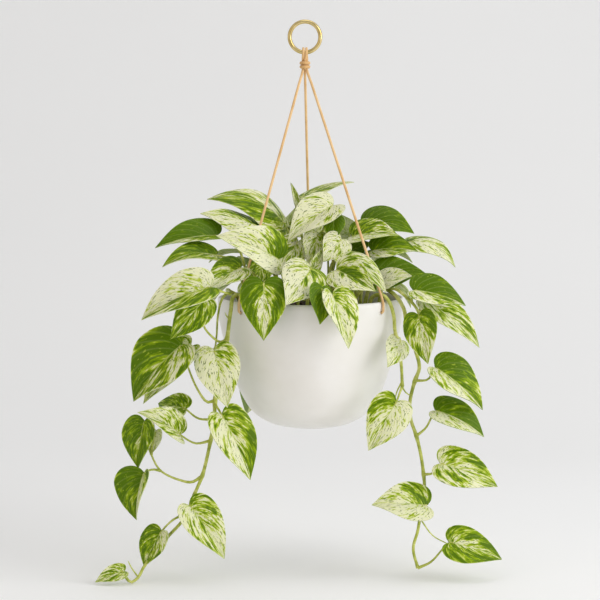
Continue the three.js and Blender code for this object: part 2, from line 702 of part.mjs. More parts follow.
function soil(plans) {
  const gap = BOWL_WALL + CLEARANCE;
  const wall = profileInside(gap);
  const floor = gap - BOWL_DEPTH;
  const side = wall.filter(([, z], i) => i % 2 === 1 && z < SOIL_EDGE && z > floor);
  const slope = [SOIL_SLOPE_RADIUS, soilHeight(SOIL_SLOPE_RADIUS, 0)];
  const body = turned([
    [0, floor], [BOWL_FLAT_RADIUS, floor], ...side, [radiusAt(wall, SOIL_EDGE), SOIL_EDGE],
    slope, [0, SOIL_CROWN],
  ], BOWL_SEGMENTS);
  return plans.reduce((cut, { root: [x, y] }) => {
    const radius = (STEM_RADIUS + CLEARANCE) / Math.cos(Math.PI / SOCKET_SIDES);
    const depth = STEM_SOCKET_DEPTH + CLEARANCE;
    const socket = new THREE.CylinderGeometry(radius, radius, 2 * depth, SOCKET_SIDES).rotateX(Math.PI / 2);
    return cut.subtract(solidOf(socket.translate(x, y, soilHeight(x, y))));
  }, body);
}

// Cords, binding and ring

// From the knot behind a hole out through the wall and up over the rim
function cordThroughHole(azimuth) {
  const turn = [-90, -60, -30, 0].map((angle) => [
    CORD_BEND_DISTANCE + CORD_BEND_RADIUS * Math.cos(radians(angle)),
    CORD_BEND_RADIUS - HOLE_DEPTH + CORD_BEND_RADIUS * Math.sin(radians(angle))]);
  const inner = [[KNOT_DISTANCE, -HOLE_DEPTH], [KNOT_DISTANCE + KNOT_RADIUS, -HOLE_DEPTH]];
  const outer = [[CORD_BEND_DISTANCE + CORD_BEND_RADIUS, -5], [CORD_RIM_DISTANCE, -1]];
  return [...inner, ...turn, ...outer].map(([radius, height]) => {
    const [x, y, z] = around(azimuth, radius, height);
    return [x + BOWL_SHIFT_X, y, z - RIM_DEPTH];
  });
}

// The long straight from the rim to the binding and up through it, in the slot given by its X and Y
function cordToBinding(from, slotX, slotY) {
  const below = [slotX, slotY, BINDING_BOTTOM - CORD_OVERHANG];
  const shares = [0.25, 0.5, 0.75, 0.93];
  const straight = shares.map((share) => from.map((value, k) => value + (below[k] - value) * share));
  return [...straight, below, [slotX, slotY, BINDING_TOP + CORD_OVERHANG]];
}

// The turn over the bottom of the ring at X, from the side given by sign to the other
function cordOverRing(x, sign) {
  return [180, 144, 108, 72, 36, 0].map((angle) => [
    x, sign * CORD_LOOP_RADIUS * Math.cos(radians(angle)),
    RING_BOTTOM_Z + CORD_LOOP_RADIUS * Math.sin(radians(angle))]);
}

function cord(stations) {
  return rod(stations.map((p) => point(...p)), CORD_RADIUS, CORD_RADIUS, CORD_SIDES);
}

function knot(azimuth) {
  const [x, y, z] = around(azimuth, KNOT_DISTANCE, -HOLE_DEPTH);
  return solidOf(new THREE.SphereGeometry(KNOT_RADIUS, 8, 6)
    .translate(x + BOWL_SHIFT_X, y, z - RIM_DEPTH));
}

function leftAndBackCord() {
  const left = cordThroughHole(-FRONT_HOLE_AZIMUTH);
  const back = cordThroughHole(180);
  const crossing = RING_BOTTOM_Z - CORD_CROSSING_DROP;
  return cord([
    ...left, ...cordToBinding(left.at(-1), -BINDING_SLOT, 0),
    [-BINDING_SLOT, -2.6, crossing], ...cordOverRing(-CORD_LOOP_SHIFT, 1), [-1, 3.4, crossing],
    ...cordToBinding(back.at(-1), 0, BINDING_SLOT).reverse(), ...back.reverse(),
  ]).add(knot(-FRONT_HOLE_AZIMUTH)).add(knot(180));
}

function rightCord() {
  const right = cordThroughHole(FRONT_HOLE_AZIMUTH);
  const crossing = RING_BOTTOM_Z - CORD_CROSSING_DROP;
  return cord([
    ...right, ...cordToBinding(right.at(-1), BINDING_SLOT, 0),
    [BINDING_SLOT, 2.6, crossing], ...cordOverRing(CORD_LOOP_SHIFT, -1), [1, -3.4, crossing],
    [0, -BINDING_SLOT, BINDING_TOP + CORD_OVERHANG], [0, -BINDING_SLOT, BINDING_BOTTOM - CORD_OVERHANG],
  ]).add(knot(FRONT_HOLE_AZIMUTH));
}

function binding() {
  const turnHeight = (BINDING_TOP - BINDING_BOTTOM) / 2;
  const wall = BINDING_OUTER_RADIUS - BINDING_ROUNDING;
  const profile = [[BINDING_INNER_RADIUS, BINDING_BOTTOM], [wall, BINDING_BOTTOM]];
  for (const centre of [BINDING_BOTTOM + turnHeight / 2, BINDING_TOP - turnHeight / 2]) {
    for (const angle of [-67, -25, 25, 67]) {
      profile.push([
        wall + BINDING_ROUNDING * Math.cos(radians(angle)),
        centre + (turnHeight / 2) * Math.sin(radians(angle))]);
    }
  }
  profile.push([wall, BINDING_TOP], [BINDING_INNER_RADIUS, BINDING_TOP], profile[0]);
  return turned(profile, BINDING_SIDES);
}

function ring() {
  return solidOf(new THREE.TorusGeometry(RING_LINE_RADIUS, RING_WIRE_RADIUS, RING_WIRE_SIDES, RING_SEGMENTS)
    .rotateX(Math.PI / 2).translate(0, 0, RING_CENTRE_Z));
}

// Materials from the photograph

const BRASS = { color: 0xb8963c, roughness: 0.25, metalness: 1 };
const LEATHER = { color: 0xc99a66, roughness: 0.7, metalness: 0 };
const CERAMIC = { color: 0xece9e2, roughness: 0.55, metalness: 0 };
const PEAT = { color: 0x2d1f16, roughness: 0.95, metalness: 0 };
const LEAF_GREENS = [0x5f8f1c, 0x7ba333, 0x9dba55];

function piece(name, solid, finish) {
  const mesh = new THREE.Mesh(geometryOf(solid), new THREE.MeshStandardMaterial(finish));
  mesh.name = name;
  return mesh;
}

// Assembly

const plans = [...VINES, ...CROWN, ...BACK_STEMS.map(backStem), ...BACK_VINES.map(backVine)];

const planting = new THREE.Group();
planting.position.set(BOWL_SHIFT_X, 0, -RIM_DEPTH);
planting.add(piece("planter_bowl", bowl(), CERAMIC));
planting.add(piece("potting_soil", soil(plans), PEAT));
plans.forEach((plan, i) => {
  const green = { color: LEAF_GREENS[i % LEAF_GREENS.length], roughness: 0.45, metalness: 0 };
  planting.add(piece(plan.name, leafyStem(plan), green));
});

const group = new THREE.Group();
group.add(piece("hanging_ring", ring(), BRASS));
group.add(piece("cord_binding", binding(), LEATHER));
group.add(piece("cord_left_back", leftAndBackCord(), LEATHER));
group.add(piece("cord_right", rightCord(), LEATHER));
group.add(planting);

export default group;
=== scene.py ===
"""Looks of a marble queen pothos in a hanging ceramic bowl.

Metres, +Z up, seen from -Y. The origin is the top of the brass ring. The leaves, stems, cords,
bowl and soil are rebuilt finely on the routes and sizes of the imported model, piece for node.
"""

import logging
import math
import random
from collections.abc import Callable, Sequence
from dataclasses import dataclass, replace
from enum import Enum
from typing import Any

import bmesh
import bpy
from mathutils import Matrix, Quaternion, Vector, noise


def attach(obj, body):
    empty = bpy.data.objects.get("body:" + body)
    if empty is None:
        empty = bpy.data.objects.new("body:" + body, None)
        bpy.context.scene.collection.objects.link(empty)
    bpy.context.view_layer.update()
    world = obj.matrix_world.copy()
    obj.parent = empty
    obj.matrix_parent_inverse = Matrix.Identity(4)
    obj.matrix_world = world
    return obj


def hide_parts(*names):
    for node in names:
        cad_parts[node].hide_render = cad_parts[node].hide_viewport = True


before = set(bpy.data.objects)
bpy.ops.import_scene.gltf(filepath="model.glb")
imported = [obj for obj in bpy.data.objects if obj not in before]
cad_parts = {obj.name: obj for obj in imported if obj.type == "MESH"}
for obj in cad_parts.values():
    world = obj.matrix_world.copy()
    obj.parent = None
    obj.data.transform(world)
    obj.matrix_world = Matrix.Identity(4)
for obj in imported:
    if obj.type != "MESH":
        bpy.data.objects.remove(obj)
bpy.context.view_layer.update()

logging.basicConfig(level=logging.INFO, format="%(message)s")
log = logging.getLogger("pothos")

PLANTER_BODY = "planter"
RING_BODY = "ring"

Place = tuple[float, float, float]
Colour = tuple[float, float, float, float]
Ramp = tuple[tuple[float, str], ...]
Curve = tuple[tuple[float, float], ...]

RIM_DEPTH = 0.303
BOWL_SHIFT_X = 0.0064
BOWL_CENTRE = Vector((BOWL_SHIFT_X, 0.0, -RIM_DEPTH))
UP = Vector((0.0, 0.0, 1.0))
WELD = 1e-6


# Numbers, colours and nodes


def linear(code: str, alpha: float = 1.0) -> Colour:
    """Turns an sRGB hex value into the linear colour that a shader takes.

    Args:
        code: Six hex digits.
        alpha: The fourth value.

    Returns:
        Linear red, green, blue and alpha.
    """
    channels = [int(code[i : i + 2], 16) / 255 for i in (0, 2, 4)]
    red, green, blue = (
        c / 12.92 if c <= 0.04045 else ((c + 0.055) / 1.055) ** 2.4 for c in channels
    )
    return (red, green, blue, alpha)


def feed(tree: bpy.types.NodeTree, node: bpy.types.Node, inputs: dict[Any, Any]) -> None:
    """Gives a node's sockets their values and links.

    Args:
        tree: The material's node tree.
        node: The node.
        inputs: Sockets by name or number, each with a value or the output that feeds it.
    """
    for key, value in inputs.items():
        if isinstance(value, bpy.types.NodeSocket):
            tree.links.new(value, node.inputs[key])
        else:
            node.inputs[key].default_value = value


def add_node(
    tree: bpy.types.NodeTree, kind: str, inputs: dict[Any, Any] | None = None, **settings: Any
) -> bpy.types.Node:
    """Adds one node with its settings, its values and its links.

    Args:
        tree: The material's node tree.
        kind: The node's type name without the ShaderNode prefix.
        inputs: Sockets by name or number, each with a value or the output that feeds it.
        settings: Attributes of the node.

    Returns:
        The new node.
    """
    node = tree.nodes.new("ShaderNode" + kind)
    for name, value in settings.items():
        setattr(node, name, value)
    feed(tree, node, inputs or {})
    return node


def set_ramp(node: bpy.types.Node, stops: Ramp) -> bpy.types.NodeSocket:
    """Gives a colour ramp its stops.

    Args:
        node: A ValToRGB node.
        stops: Position and hex colour of each stop, in order.

    Returns:
        The colour that the ramp puts out.
    """
    ramp = node.color_ramp
    while len(ramp.elements) < len(stops):
        ramp.elements.new(1.0)
    for element, (position, code) in zip(ramp.elements, stops):
        element.position = position
        element.color = linear(code)
    return node.outputs["Color"]


def start_material(
    name: str, roughness: float, metallic: float = 0.0
) -> tuple[bpy.types.Material, bpy.types.NodeTree, bpy.types.Node]:
    """Makes an empty material with its shader.

    Args:
        name: The material's common name and how its surface was made.
        roughness: The shader's constant roughness.
        metallic: 1 for bare metal, otherwise 0.

    Returns:
        The material, its node tree and its shader node.
    """
    material = bpy.data.materials.new(name)
    material.use_nodes = True
    tree = material.node_tree
    shader = tree.nodes["Principled BSDF"]
    feed(tree, shader, {"Roughness": roughness, "Metallic": metallic})
    return material, tree, shader


# Finishes


@dataclass(frozen=True)
class PolishedBrass:
    """Solid drawn brass wire, bent, brazed and polished: warm yellow, clear reflections."""

    tones: Ramp = ((0.3, "C2A866"), (0.65, "E3CE94"))
    roughness: float = 0.2
    least_roughness: float = 0.14
    most_roughness: float = 0.3
    haze_size: float = 0.012

    def build(self) -> bpy.types.Material:
        """Returns the material."""
        material, tree, shader = start_material("brass_polished", self.roughness, 1.0)
        place = add_node(tree, "TexCoord").outputs["Object"]
        haze = add_node(
            tree, "TexNoise", {"Vector": place, "Scale": 1 / self.haze_size, "Detail": 4.0}
        ).outputs["Fac"]
        colour = set_ramp(add_node(tree, "ValToRGB", {"Fac": haze}), self.tones)
        wear = add_node(
            tree,
            "MapRange",
            {"Value": haze, "To Min": self.least_roughness, "To Max": self.most_roughness},
        ).outputs["Result"]
        feed(tree, shader, {"Base Color": colour, "Roughness": wear})
        return material


@dataclass(frozen=True)
class TanLeather:
    """Vegetable tanned leather lace, cut round and burnished: matt tan with a fine grain."""

    tones: Ramp = ((0.42, "C2945B"), (0.56, "DBB075"), (0.75, "EAC48E"))
    roughness: float = 0.62
    sheen: float = 0.15
    grain_size: float = 0.0009
    grain_share: float = 0.35
    grain_depth: float = 0.0002
    stain_size: float = 0.02

    def build(self) -> bpy.types.Material:
        """Returns the material."""
        material, tree, shader = start_material("leather_vegetable_tanned", self.roughness)
        place = add_node(tree, "TexCoord").outputs["Object"]
        grain = add_node(
            tree, "TexNoise", {"Vector": place, "Scale": 1 / self.grain_size, "Detail": 3.0}
        ).outputs["Fac"]
        stain = add_node(
            tree, "TexNoise", {"Vector": place, "Scale": 1 / self.stain_size, "Detail": 5.0}
        ).outputs["Fac"]
        mixed = add_node(
            tree, "Math", {0: grain, 1: self.grain_share, 2: stain}, operation="MULTIPLY_ADD"
        ).outputs["Value"]
        colour = set_ramp(add_node(tree, "ValToRGB", {"Fac": mixed}), self.tones)
        bump = add_node(
            tree, "Bump", {"Strength": 0.25, "Distance": self.grain_depth, "Height": grain}
        ).outputs["Normal"]
        feed(tree, shader, {"Base Color": colour, "Normal": bump, "Sheen Weight": self.sheen})
        return material


@dataclass(frozen=True)
class SatinGlazedCeramic:
    """Slip cast earthenware with a satin white glaze: soft broad highlights, faint pitting."""

    tones: Ramp = ((0.35, "EBE8E3"), (0.65, "F3F1EE"))
    roughness: float = 0.42
    least_roughness: float = 0.36
    most_roughness: float = 0.5
    coat: float = 0.15
    coat_roughness: float = 0.3
    cloud_size: float = 0.06
    pit_size: float = 0.0018
    pit_depth: float = 0.0003

    def build(self) -> bpy.types.Material:
        """Returns the material."""
        material, tree, shader = start_material("ceramic_satin_glazed", self.roughness)
        place = add_node(tree, "TexCoord").outputs["Object"]
        cloud = add_node(
            tree, "TexNoise", {"Vector": place, "Scale": 1 / self.cloud_size, "Detail": 3.0}
        ).outputs["Fac"]
        pits = add_node(
            tree, "TexNoise", {"Vector": place, "Scale": 1 / self.pit_size, "Detail": 2.0}
        ).outputs["Fac"]
        colour = set_ramp(add_node(tree, "ValToRGB", {"Fac": cloud}), self.tones)
        satin = add_node(
            tree,
            "MapRange",
            {"Value": cloud, "To Min": self.least_roughness, "To Max": self.most_roughness},
        ).outputs["Result"]
        bump = add_node(
            tree, "Bump", {"Strength": 0.12, "Distance": self.pit_depth, "Height": pits}
        ).outputs["Normal"]
        feed(tree, shader, {"Base Color": colour, "Roughness": satin, "Normal": bump})
        feed(tree, shader, {"Coat Weight": self.coat, "Coat Roughness": self.coat_roughness})
        return material


@dataclass(frozen=True)
class PeatMix:
    """Moist peat with composted bark, sieved: dark brown crumbs, no gloss."""

    tones: Ramp = ((0.35, "1D140D"), (0.55, "3B2919"), (0.75, "6A4B2E"))
    roughness: float = 0.95
    crumb_size: float = 0.003
    crumb_depth: float = 0.0015

    def build(self) -> bpy.types.Material:
        """Returns the material."""
        material, tree, shader = start_material("peat_and_bark_sieved", self.roughness)
        place = add_node(tree, "TexCoord").outputs["Object"]
        crumb = add_node(
            tree,
            "TexNoise",
            {"Vector": place, "Scale": 1 / self.crumb_size, "Detail": 8.0, "Roughness": 0.65},
        ).outputs["Fac"]
        colour = set_ramp(add_node(tree, "ValToRGB", {"Fac": crumb}), self.tones)
        bump = add_node(
            tree, "Bump", {"Strength": 0.9, "Distance": self.crumb_depth, "Height": crumb}
        ).outputs["Normal"]
        feed(tree, shader, {"Base Color": colour, "Normal": bump})
        return material


@dataclass(frozen=True)
class StemTissue:
    """Living stem and stalk, grown: pale green, slightly waxy, streaked along its length."""

    tones: Ramp = ((0.45, "8F9B2E"), (0.62, "B4BC4E"), (0.8, "D8D984"))
    roughness: float = 0.42
    streak_size: float = 0.012
    streak_bend: float = 0.6
    fibre_size: float = 0.0014
    fibre_share: float = 0.25
    fibre_depth: float = 0.0003
    glow: float = 0.15
    glow_reach: Place = (0.002, 0.003, 0.001)

    def build(self) -> bpy.types.Material:
        """Returns the material."""
        material, tree, shader = start_material("stem_tissue_waxy", self.roughness)
        place = add_node(tree, "TexCoord").outputs["Object"]
        streak = add_node(
            tree,
            "TexNoise",
            {
                "Vector": place,
                "Scale": 1 / self.streak_size,
                "Detail": 4.0,
                "Distortion": self.streak_bend,
            },
        ).outputs["Fac"]
        fibre = add_node(
            tree, "TexNoise", {"Vector": place, "Scale": 1 / self.fibre_size, "Detail": 2.0}
        ).outputs["Fac"]
        mixed = add_node(
            tree, "Math", {0: fibre, 1: self.fibre_share, 2: streak}, operation="MULTIPLY_ADD"
        ).outputs["Value"]
        colour = set_ramp(add_node(tree, "ValToRGB", {"Fac": mixed}), self.tones)
        bump = add_node(
            tree, "Bump", {"Strength": 0.2, "Distance": self.fibre_depth, "Height": fibre}
        ).outputs["Normal"]
        feed(tree, shader, {"Base Color": colour, "Normal": bump, "Subsurface Scale": 1.0})
        feed(tree, shader, {"Subsurface Weight": self.glow, "Subsurface Radius": self.glow_reach})
        return material


class BladeFace(Enum):
    """The two faces of a leaf blade, each with its material's name."""

    UPPER = "leaf_upper_waxy"
    UNDER = "leaf_underside_matt"


@dataclass(frozen=True)
class Streaks:
    """A noise on the blade's own map: its repeats across and along, its detail, its shift."""

    across: float
    along: float
    detail: float
    shift: float
    roughness: float = 0.55
    distortion: float = 0.25

    def add(
        self, tree: bpy.types.NodeTree, made: dict[str, bpy.types.NodeSocket]
    ) -> bpy.types.NodeSocket:
        """Lays the noise on the blade, unlike on each leaf and on each half.

        Args:
            tree: The material's node tree.
            made: The sums made so far, by name.

        Returns:
            The noise.
        """
        place = {"X": made["across"], "Y": made["swept"], "Z": made["own"]}
        place = add_node(tree, "CombineXYZ", place).outputs["Vector"]
        spread = add_node(
            tree,
            "VectorMath",
            {0: place, 1: (self.across, self.along, 1.0), 2: (0.0, 0.0, self.shift)},
            operation="MULTIPLY_ADD",
        ).outputs["Vector"]
        look = {"Detail": self.detail, "Roughness": self.roughness, "Distortion": self.distortion}
        return add_node(tree, "TexNoise", {"Vector": spread, "Scale": 1.0, **look}).outputs["Fac"]


@dataclass(frozen=True)
class VariegatedBlade:
    """Living leaf of a marbled pothos: green and cream sectors that follow the side veins.

    The blade's own map runs across the leaf in U and from stalk to tip in V, and its rows lie
    along the side veins, so a pattern stretched along U gives the streaks of the real leaf.
    The point attribute marbling holds how cream each quarter of the leaf is.
    """

    face: BladeFace

    tones: Ramp = (
        (0.18, "527000"),
        (0.38, "8FA909"),
        (0.45, "B3C141"),
        (0.52, "CDD488"),
        (0.62, "E3E4BE"),
    )
    dark_fleck: str = "586C14"
    pale_fleck: str = "B3C141"
    vein: str = "BCC878"
    faded: str = "A9BA86"
    fading: float = 0.45
    roughness: float = 0.42
    under_roughness: float = 0.6
    specular: float = 0.13
    glow: float = 0.12
    glow_reach: Place = (0.003, 0.004, 0.001)
    relief: float = 0.0005
    gloss_change: float = 0.16
    sweep: float = 0.28
    half_shift: float = 5.3
    tip_start: float = -0.45
    tip_gain: float = 1.9
    tip_blend: float = 0.1
    rib_fall: float = -1.5
    rib_base: float = 0.3
    rib_tip: float = 0.7
    sector_gain: float = 1.5
    streak_gain: float = 1.8
    thread_gain: float = 0.9
    least_unrest: float = 0.3
    unrest_gain: float = 1.7
    edge_gain: float = 16.0
    edge_cream: float = 0.22
    dark_fleck_level: float = 0.615
    dark_fleck_ground: float = 0.5
    dark_fleck_share: float = 0.9
    pale_fleck_level: float = 0.33
    pale_fleck_ground: float = 0.42
    pale_fleck_share: float = 0.6
    side_veins: float = 8.0
    vein_sharpness: float = 10.0
    vein_share: float = 0.12
    vein_depth: float = -0.8
    rib_width: float = 0.036
    rib_taper: float = -0.028
    rib_share: float = 0.7
    skin_depth: float = 0.35
    patterns: tuple[tuple[str, Streaks], ...] = (
        ("sectors", Streaks(1.5, 5.5, 2.0, 0.0)),
        ("streaks", Streaks(3.2, 16.0, 4.0, 11.0)),
        ("threads", Streaks(6.0, 38.0, 2.0, 23.0)),
        ("flecks", Streaks(10.0, 34.0, 2.0, 37.0)),
        ("skin", Streaks(60.0, 90.0, 2.0, 51.0)),
    )

    def lay_out(self) -> tuple[tuple, ...]:
        """Returns the sums that turn a place on the blade into a place in the patterns."""
        return (
            ("across", "MULTIPLY_ADD", "u", 2.0, -1.0),
            ("half", "GREATER_THAN", "across", 0.0),
            ("from_rib", "ABSOLUTE", "across"),
            ("swept", "MULTIPLY_ADD", "from_rib", -self.sweep, "along"),
            ("own", "MULTIPLY_ADD", "half", self.half_shift, "seed"),
        )

    def share_out(self) -> tuple[tuple, ...]:
        """Returns the sums for the share of cream: by quarter, and more or less at the rib."""
        return (
            ("tipward", "MULTIPLY_ADD", "along", self.tip_gain, self.tip_start),
            ("tipward", "SMOOTH_MAX", "tipward", 0.0, self.tip_blend),
            ("tipward", "SMOOTH_MIN", "tipward", 1.0, self.tip_blend),
            ("change", "SUBTRACT", "side_tip", "side_base"),
            ("side", "MULTIPLY_ADD", "change", "tipward", "side_base"),
            ("change", "SUBTRACT", "far_tip", "far_base"),
            ("far", "MULTIPLY_ADD", "change", "tipward", "far_base"),
            ("change", "SUBTRACT", "side", "far"),
            ("share", "MULTIPLY_ADD", "change", "half", "far"),
            ("near_rib", "MULTIPLY_ADD", "from_rib", self.rib_fall, 1.0),
            ("near_rib", "MAXIMUM", "near_rib", 0.0),
            ("rib_gain", "MULTIPLY_ADD", "tipward", self.rib_tip, self.rib_base),
            ("near_rib", "MULTIPLY", "near_rib", "rib_gain"),
            ("share", "MULTIPLY_ADD", "near_rib", "core", "share"),
        )

    def marble(self) -> tuple[tuple, ...]:
        """Returns the sums for the marbling: the patterns stir the share, the edge is paler."""
        return (
            ("sectors", "SUBTRACT", "sectors", 0.5),
            ("threads", "SUBTRACT", "threads", 0.5),
            ("stripes", "SUBTRACT", "streaks", 0.5),
            ("marbled", "MULTIPLY", "sectors", self.sector_gain),
            ("marbled", "MULTIPLY_ADD", "stripes", self.streak_gain, "marbled"),
            ("marbled", "MULTIPLY_ADD", "threads", self.thread_gain, "marbled"),
            ("unrest", "MULTIPLY_ADD", "share", self.unrest_gain, self.least_unrest),
            ("unrest", "MINIMUM", "unrest", 1.0),
            ("marbled", "MULTIPLY_ADD", "marbled", "unrest", "share"),
            ("edge", "MULTIPLY_ADD", "from_rib", self.edge_gain, 1.0 - self.edge_gain),
            ("edge", "MAXIMUM", "edge", 0.0),
            ("marbled", "MULTIPLY_ADD", "edge", self.edge_cream, "marbled"),
        )

    def draw_lines(self) -> tuple[tuple, ...]:
        """Returns the sums for the dark and pale flecks, the veins and the relief."""
        return (
            ("high", "GREATER_THAN", "flecks", self.dark_fleck_level),
            ("on_cream", "GREATER_THAN", "marbled", self.dark_fleck_ground),
            ("dark_flecks", "MULTIPLY", "high", "on_cream"),
            ("dark_flecks", "MULTIPLY", "dark_flecks", self.dark_fleck_share),
            ("low", "LESS_THAN", "flecks", self.pale_fleck_level),
            ("on_green", "LESS_THAN", "marbled", self.pale_fleck_ground),
            ("pale_flecks", "MULTIPLY", "low", "on_green"),
            ("pale_flecks", "MULTIPLY", "pale_flecks", self.pale_fleck_share),
            ("ripple", "MULTIPLY", "swept", 2 * math.pi * self.side_veins),
            ("ripple", "SINE", "ripple"),
            ("ripple", "MULTIPLY_ADD", "ripple", 0.5, 0.5),
            ("groove", "POWER", "ripple", self.vein_sharpness),
            ("rib_width", "MULTIPLY_ADD", "along", self.rib_taper, self.rib_width),
            ("on_rib", "LESS_THAN", "from_rib", "rib_width"),
            ("on_rib", "MULTIPLY", "on_rib", self.rib_share),
            ("on_vein", "MULTIPLY", "groove", self.vein_share),
            ("lines", "MAXIMUM", "on_vein", "on_rib"),
            ("skin", "MULTIPLY", "skin", self.skin_depth),
            ("height", "MULTIPLY_ADD", "groove", self.vein_depth, "skin"),
        )

    def build(self) -> bpy.types.Material:
        """Returns the material."""
        under = self.face is BladeFace.UNDER
        roughness = self.under_roughness if under else self.roughness
        material, tree, shader = start_material(self.face.value, roughness)
        on_map = add_node(tree, "UVMap", uv_map="UVMap").outputs["UV"]
        apart = add_node(tree, "SeparateXYZ", {"Vector": on_map}).outputs
        quarters = add_node(tree, "Attribute", attribute_name="marbling").outputs
        shares = add_node(tree, "SeparateColor", {"Color": quarters["Color"]}).outputs
        made = {
            "u": apart["X"],
            "along": apart["Y"],
            "side_base": shares["Red"],
            "side_tip": shares["Green"],
            "far_base": shares["Blue"],
            "far_tip": quarters["Alpha"],
            "seed": add_node(tree, "Attribute", attribute_name="leaf_seed").outputs["Fac"],
            "core": add_node(tree, "Attribute", attribute_name="leaf_core").outputs["Fac"],
        }
        rows = [*self.lay_out(), *self.patterns, *self.share_out()]
        for name, how, *given in (*rows, *self.marble(), *self.draw_lines()):
            if isinstance(how, Streaks):
                made[name] = how.add(tree, made)
            else:
                inputs = {i: made.get(value, value) for i, value in enumerate(given)}
                made[name] = add_node(tree, "Math", inputs, operation=how).outputs["Value"]
        colour = set_ramp(add_node(tree, "ValToRGB", {"Fac": made["marbled"]}), self.tones)
        tints = [
            (made["dark_flecks"], self.dark_fleck),
            (made["pale_flecks"], self.pale_fleck),
            (made["lines"], self.vein),
        ]
        if under:
            tints.append((self.fading, self.faded))
        for share, tint in tints:
            inputs = {"Factor": share, "A": colour, "B": linear(tint)}
            colour = add_node(tree, "Mix", inputs, data_type="RGBA").outputs["Result"]
        bump = add_node(
            tree,
            "Bump",
            {"Strength": 0.35, "Distance": self.relief, "Height": made["height"]},
            invert=under,
        ).outputs["Normal"]
        feed(tree, shader, {"Base Color": colour, "Normal": bump, "Subsurface Scale": 1.0})
        feed(tree, shader, {"Subsurface Weight": self.glow, "Subsurface Radius": self.glow_reach})
        shader.inputs["Specular IOR Level"].default_value = self.specular
        if not under:
            least = self.roughness - self.gloss_change / 2
            gloss = {0: made["streaks"], 1: self.gloss_change, 2: least}
            gloss = add_node(tree, "Math", gloss, operation="MULTIPLY_ADD").outputs["Value"]
            feed(tree, shader, {"Roughness": gloss})
        return material


@dataclass(frozen=True)
class SeamlessPaper:
    """Photographer's background paper, rolled and matt: near white, with the faintest cloud."""

    tones: Ramp = ((0.3, "F8F8F8"), (0.7, "FAFAFA"))
    roughness: float = 0.9
    cloud_scale: float = 1.2

    def build(self) -> bpy.types.Material:
        """Returns the material."""
        material, tree, shader = start_material("paper_seamless_matt", self.roughness)
        place = add_node(tree, "TexCoord").outputs["Object"]
        cloud = add_node(
            tree, "TexNoise", {"Vector": place, "Scale": self.cloud_scale, "Detail": 2.0}
        ).outputs["Fac"]
        colour = set_ramp(add_node(tree, "ValToRGB", {"Fac": cloud}), self.tones)
        feed(tree, shader, {"Base Color": colour})
        return material


class Finish(Enum):
    """The material slots, each with the finishes that it takes."""

    BRASS = ("polished_brass", (PolishedBrass(),))
    LEATHER = ("tan_leather", (TanLeather(),))
    CERAMIC = ("white_ceramic", (SatinGlazedCeramic(),))
    PEAT = ("potting_mix", (PeatMix(),))
    LEAF = (
        "variegated_leaf",
        (VariegatedBlade(BladeFace.UPPER), VariegatedBlade(BladeFace.UNDER), StemTissue()),
    )


UNDER_INDEX = 1
STEM_INDEX = 2


# Lines and meshes


FINE_STEPS = 12


def smooth_line(places: Sequence[Sequence[float]], spacing: float, least: int = 3) -> list[Vector]:
    """Lays evenly spaced stations on a centripetal Catmull-Rom line through the places.

    Args:
        places: The places that the line passes.
        spacing: The distance between stations.
        least: The smallest number of steps.

    Returns:
        The stations, ends included.
    """
    points = [Vector(p) for p in places]
    points = [2 * points[0] - points[1], *points, 2 * points[-1] - points[-2]]
    dense: list[Vector] = []
    for k in range(1, len(points) - 2):
        p0, p1, p2, p3 = points[k - 1 : k + 3]
        d0, d1, d2 = (max((b - a).length ** 0.5, 1e-4) for a, b in ((p0, p1), (p1, p2), (p2, p3)))
        m1 = (p1 - p0) / d0 - (p2 - p0) / (d0 + d1) + (p2 - p1) / d1
        m2 = (p2 - p1) / d1 - (p3 - p1) / (d1 + d2) + (p3 - p2) / d2
        for step in range(FINE_STEPS):
            u = step / FINE_STEPS
            h1 = 2 * u**3 - 3 * u**2 + 1
            h2 = u**3 - 2 * u**2 + u
            h3 = -2 * u**3 + 3 * u**2
            h4 = u**3 - u**2
            dense.append(h1 * p1 + h2 * d1 * m1 + h3 * p2 + h4 * d1 * m2)
    dense.append(points[-2])
    lengths = [0.0]
    for a, b in zip(dense, dense[1:]):
        lengths.append(lengths[-1] + (b - a).length)
    steps = max(least, round(lengths[-1] / spacing))
    stations: list[Vector] = []
    k = 0
    for step in range(steps + 1):
        reach = lengths[-1] * step / steps
        while k < len(lengths) - 2 and lengths[k + 1] < reach:
            k += 1
        stretch = max(lengths[k + 1] - lengths[k], 1e-9)
        stations.append(dense[k].lerp(dense[k + 1], min(1.0, (reach - lengths[k]) / stretch)))
    return stations


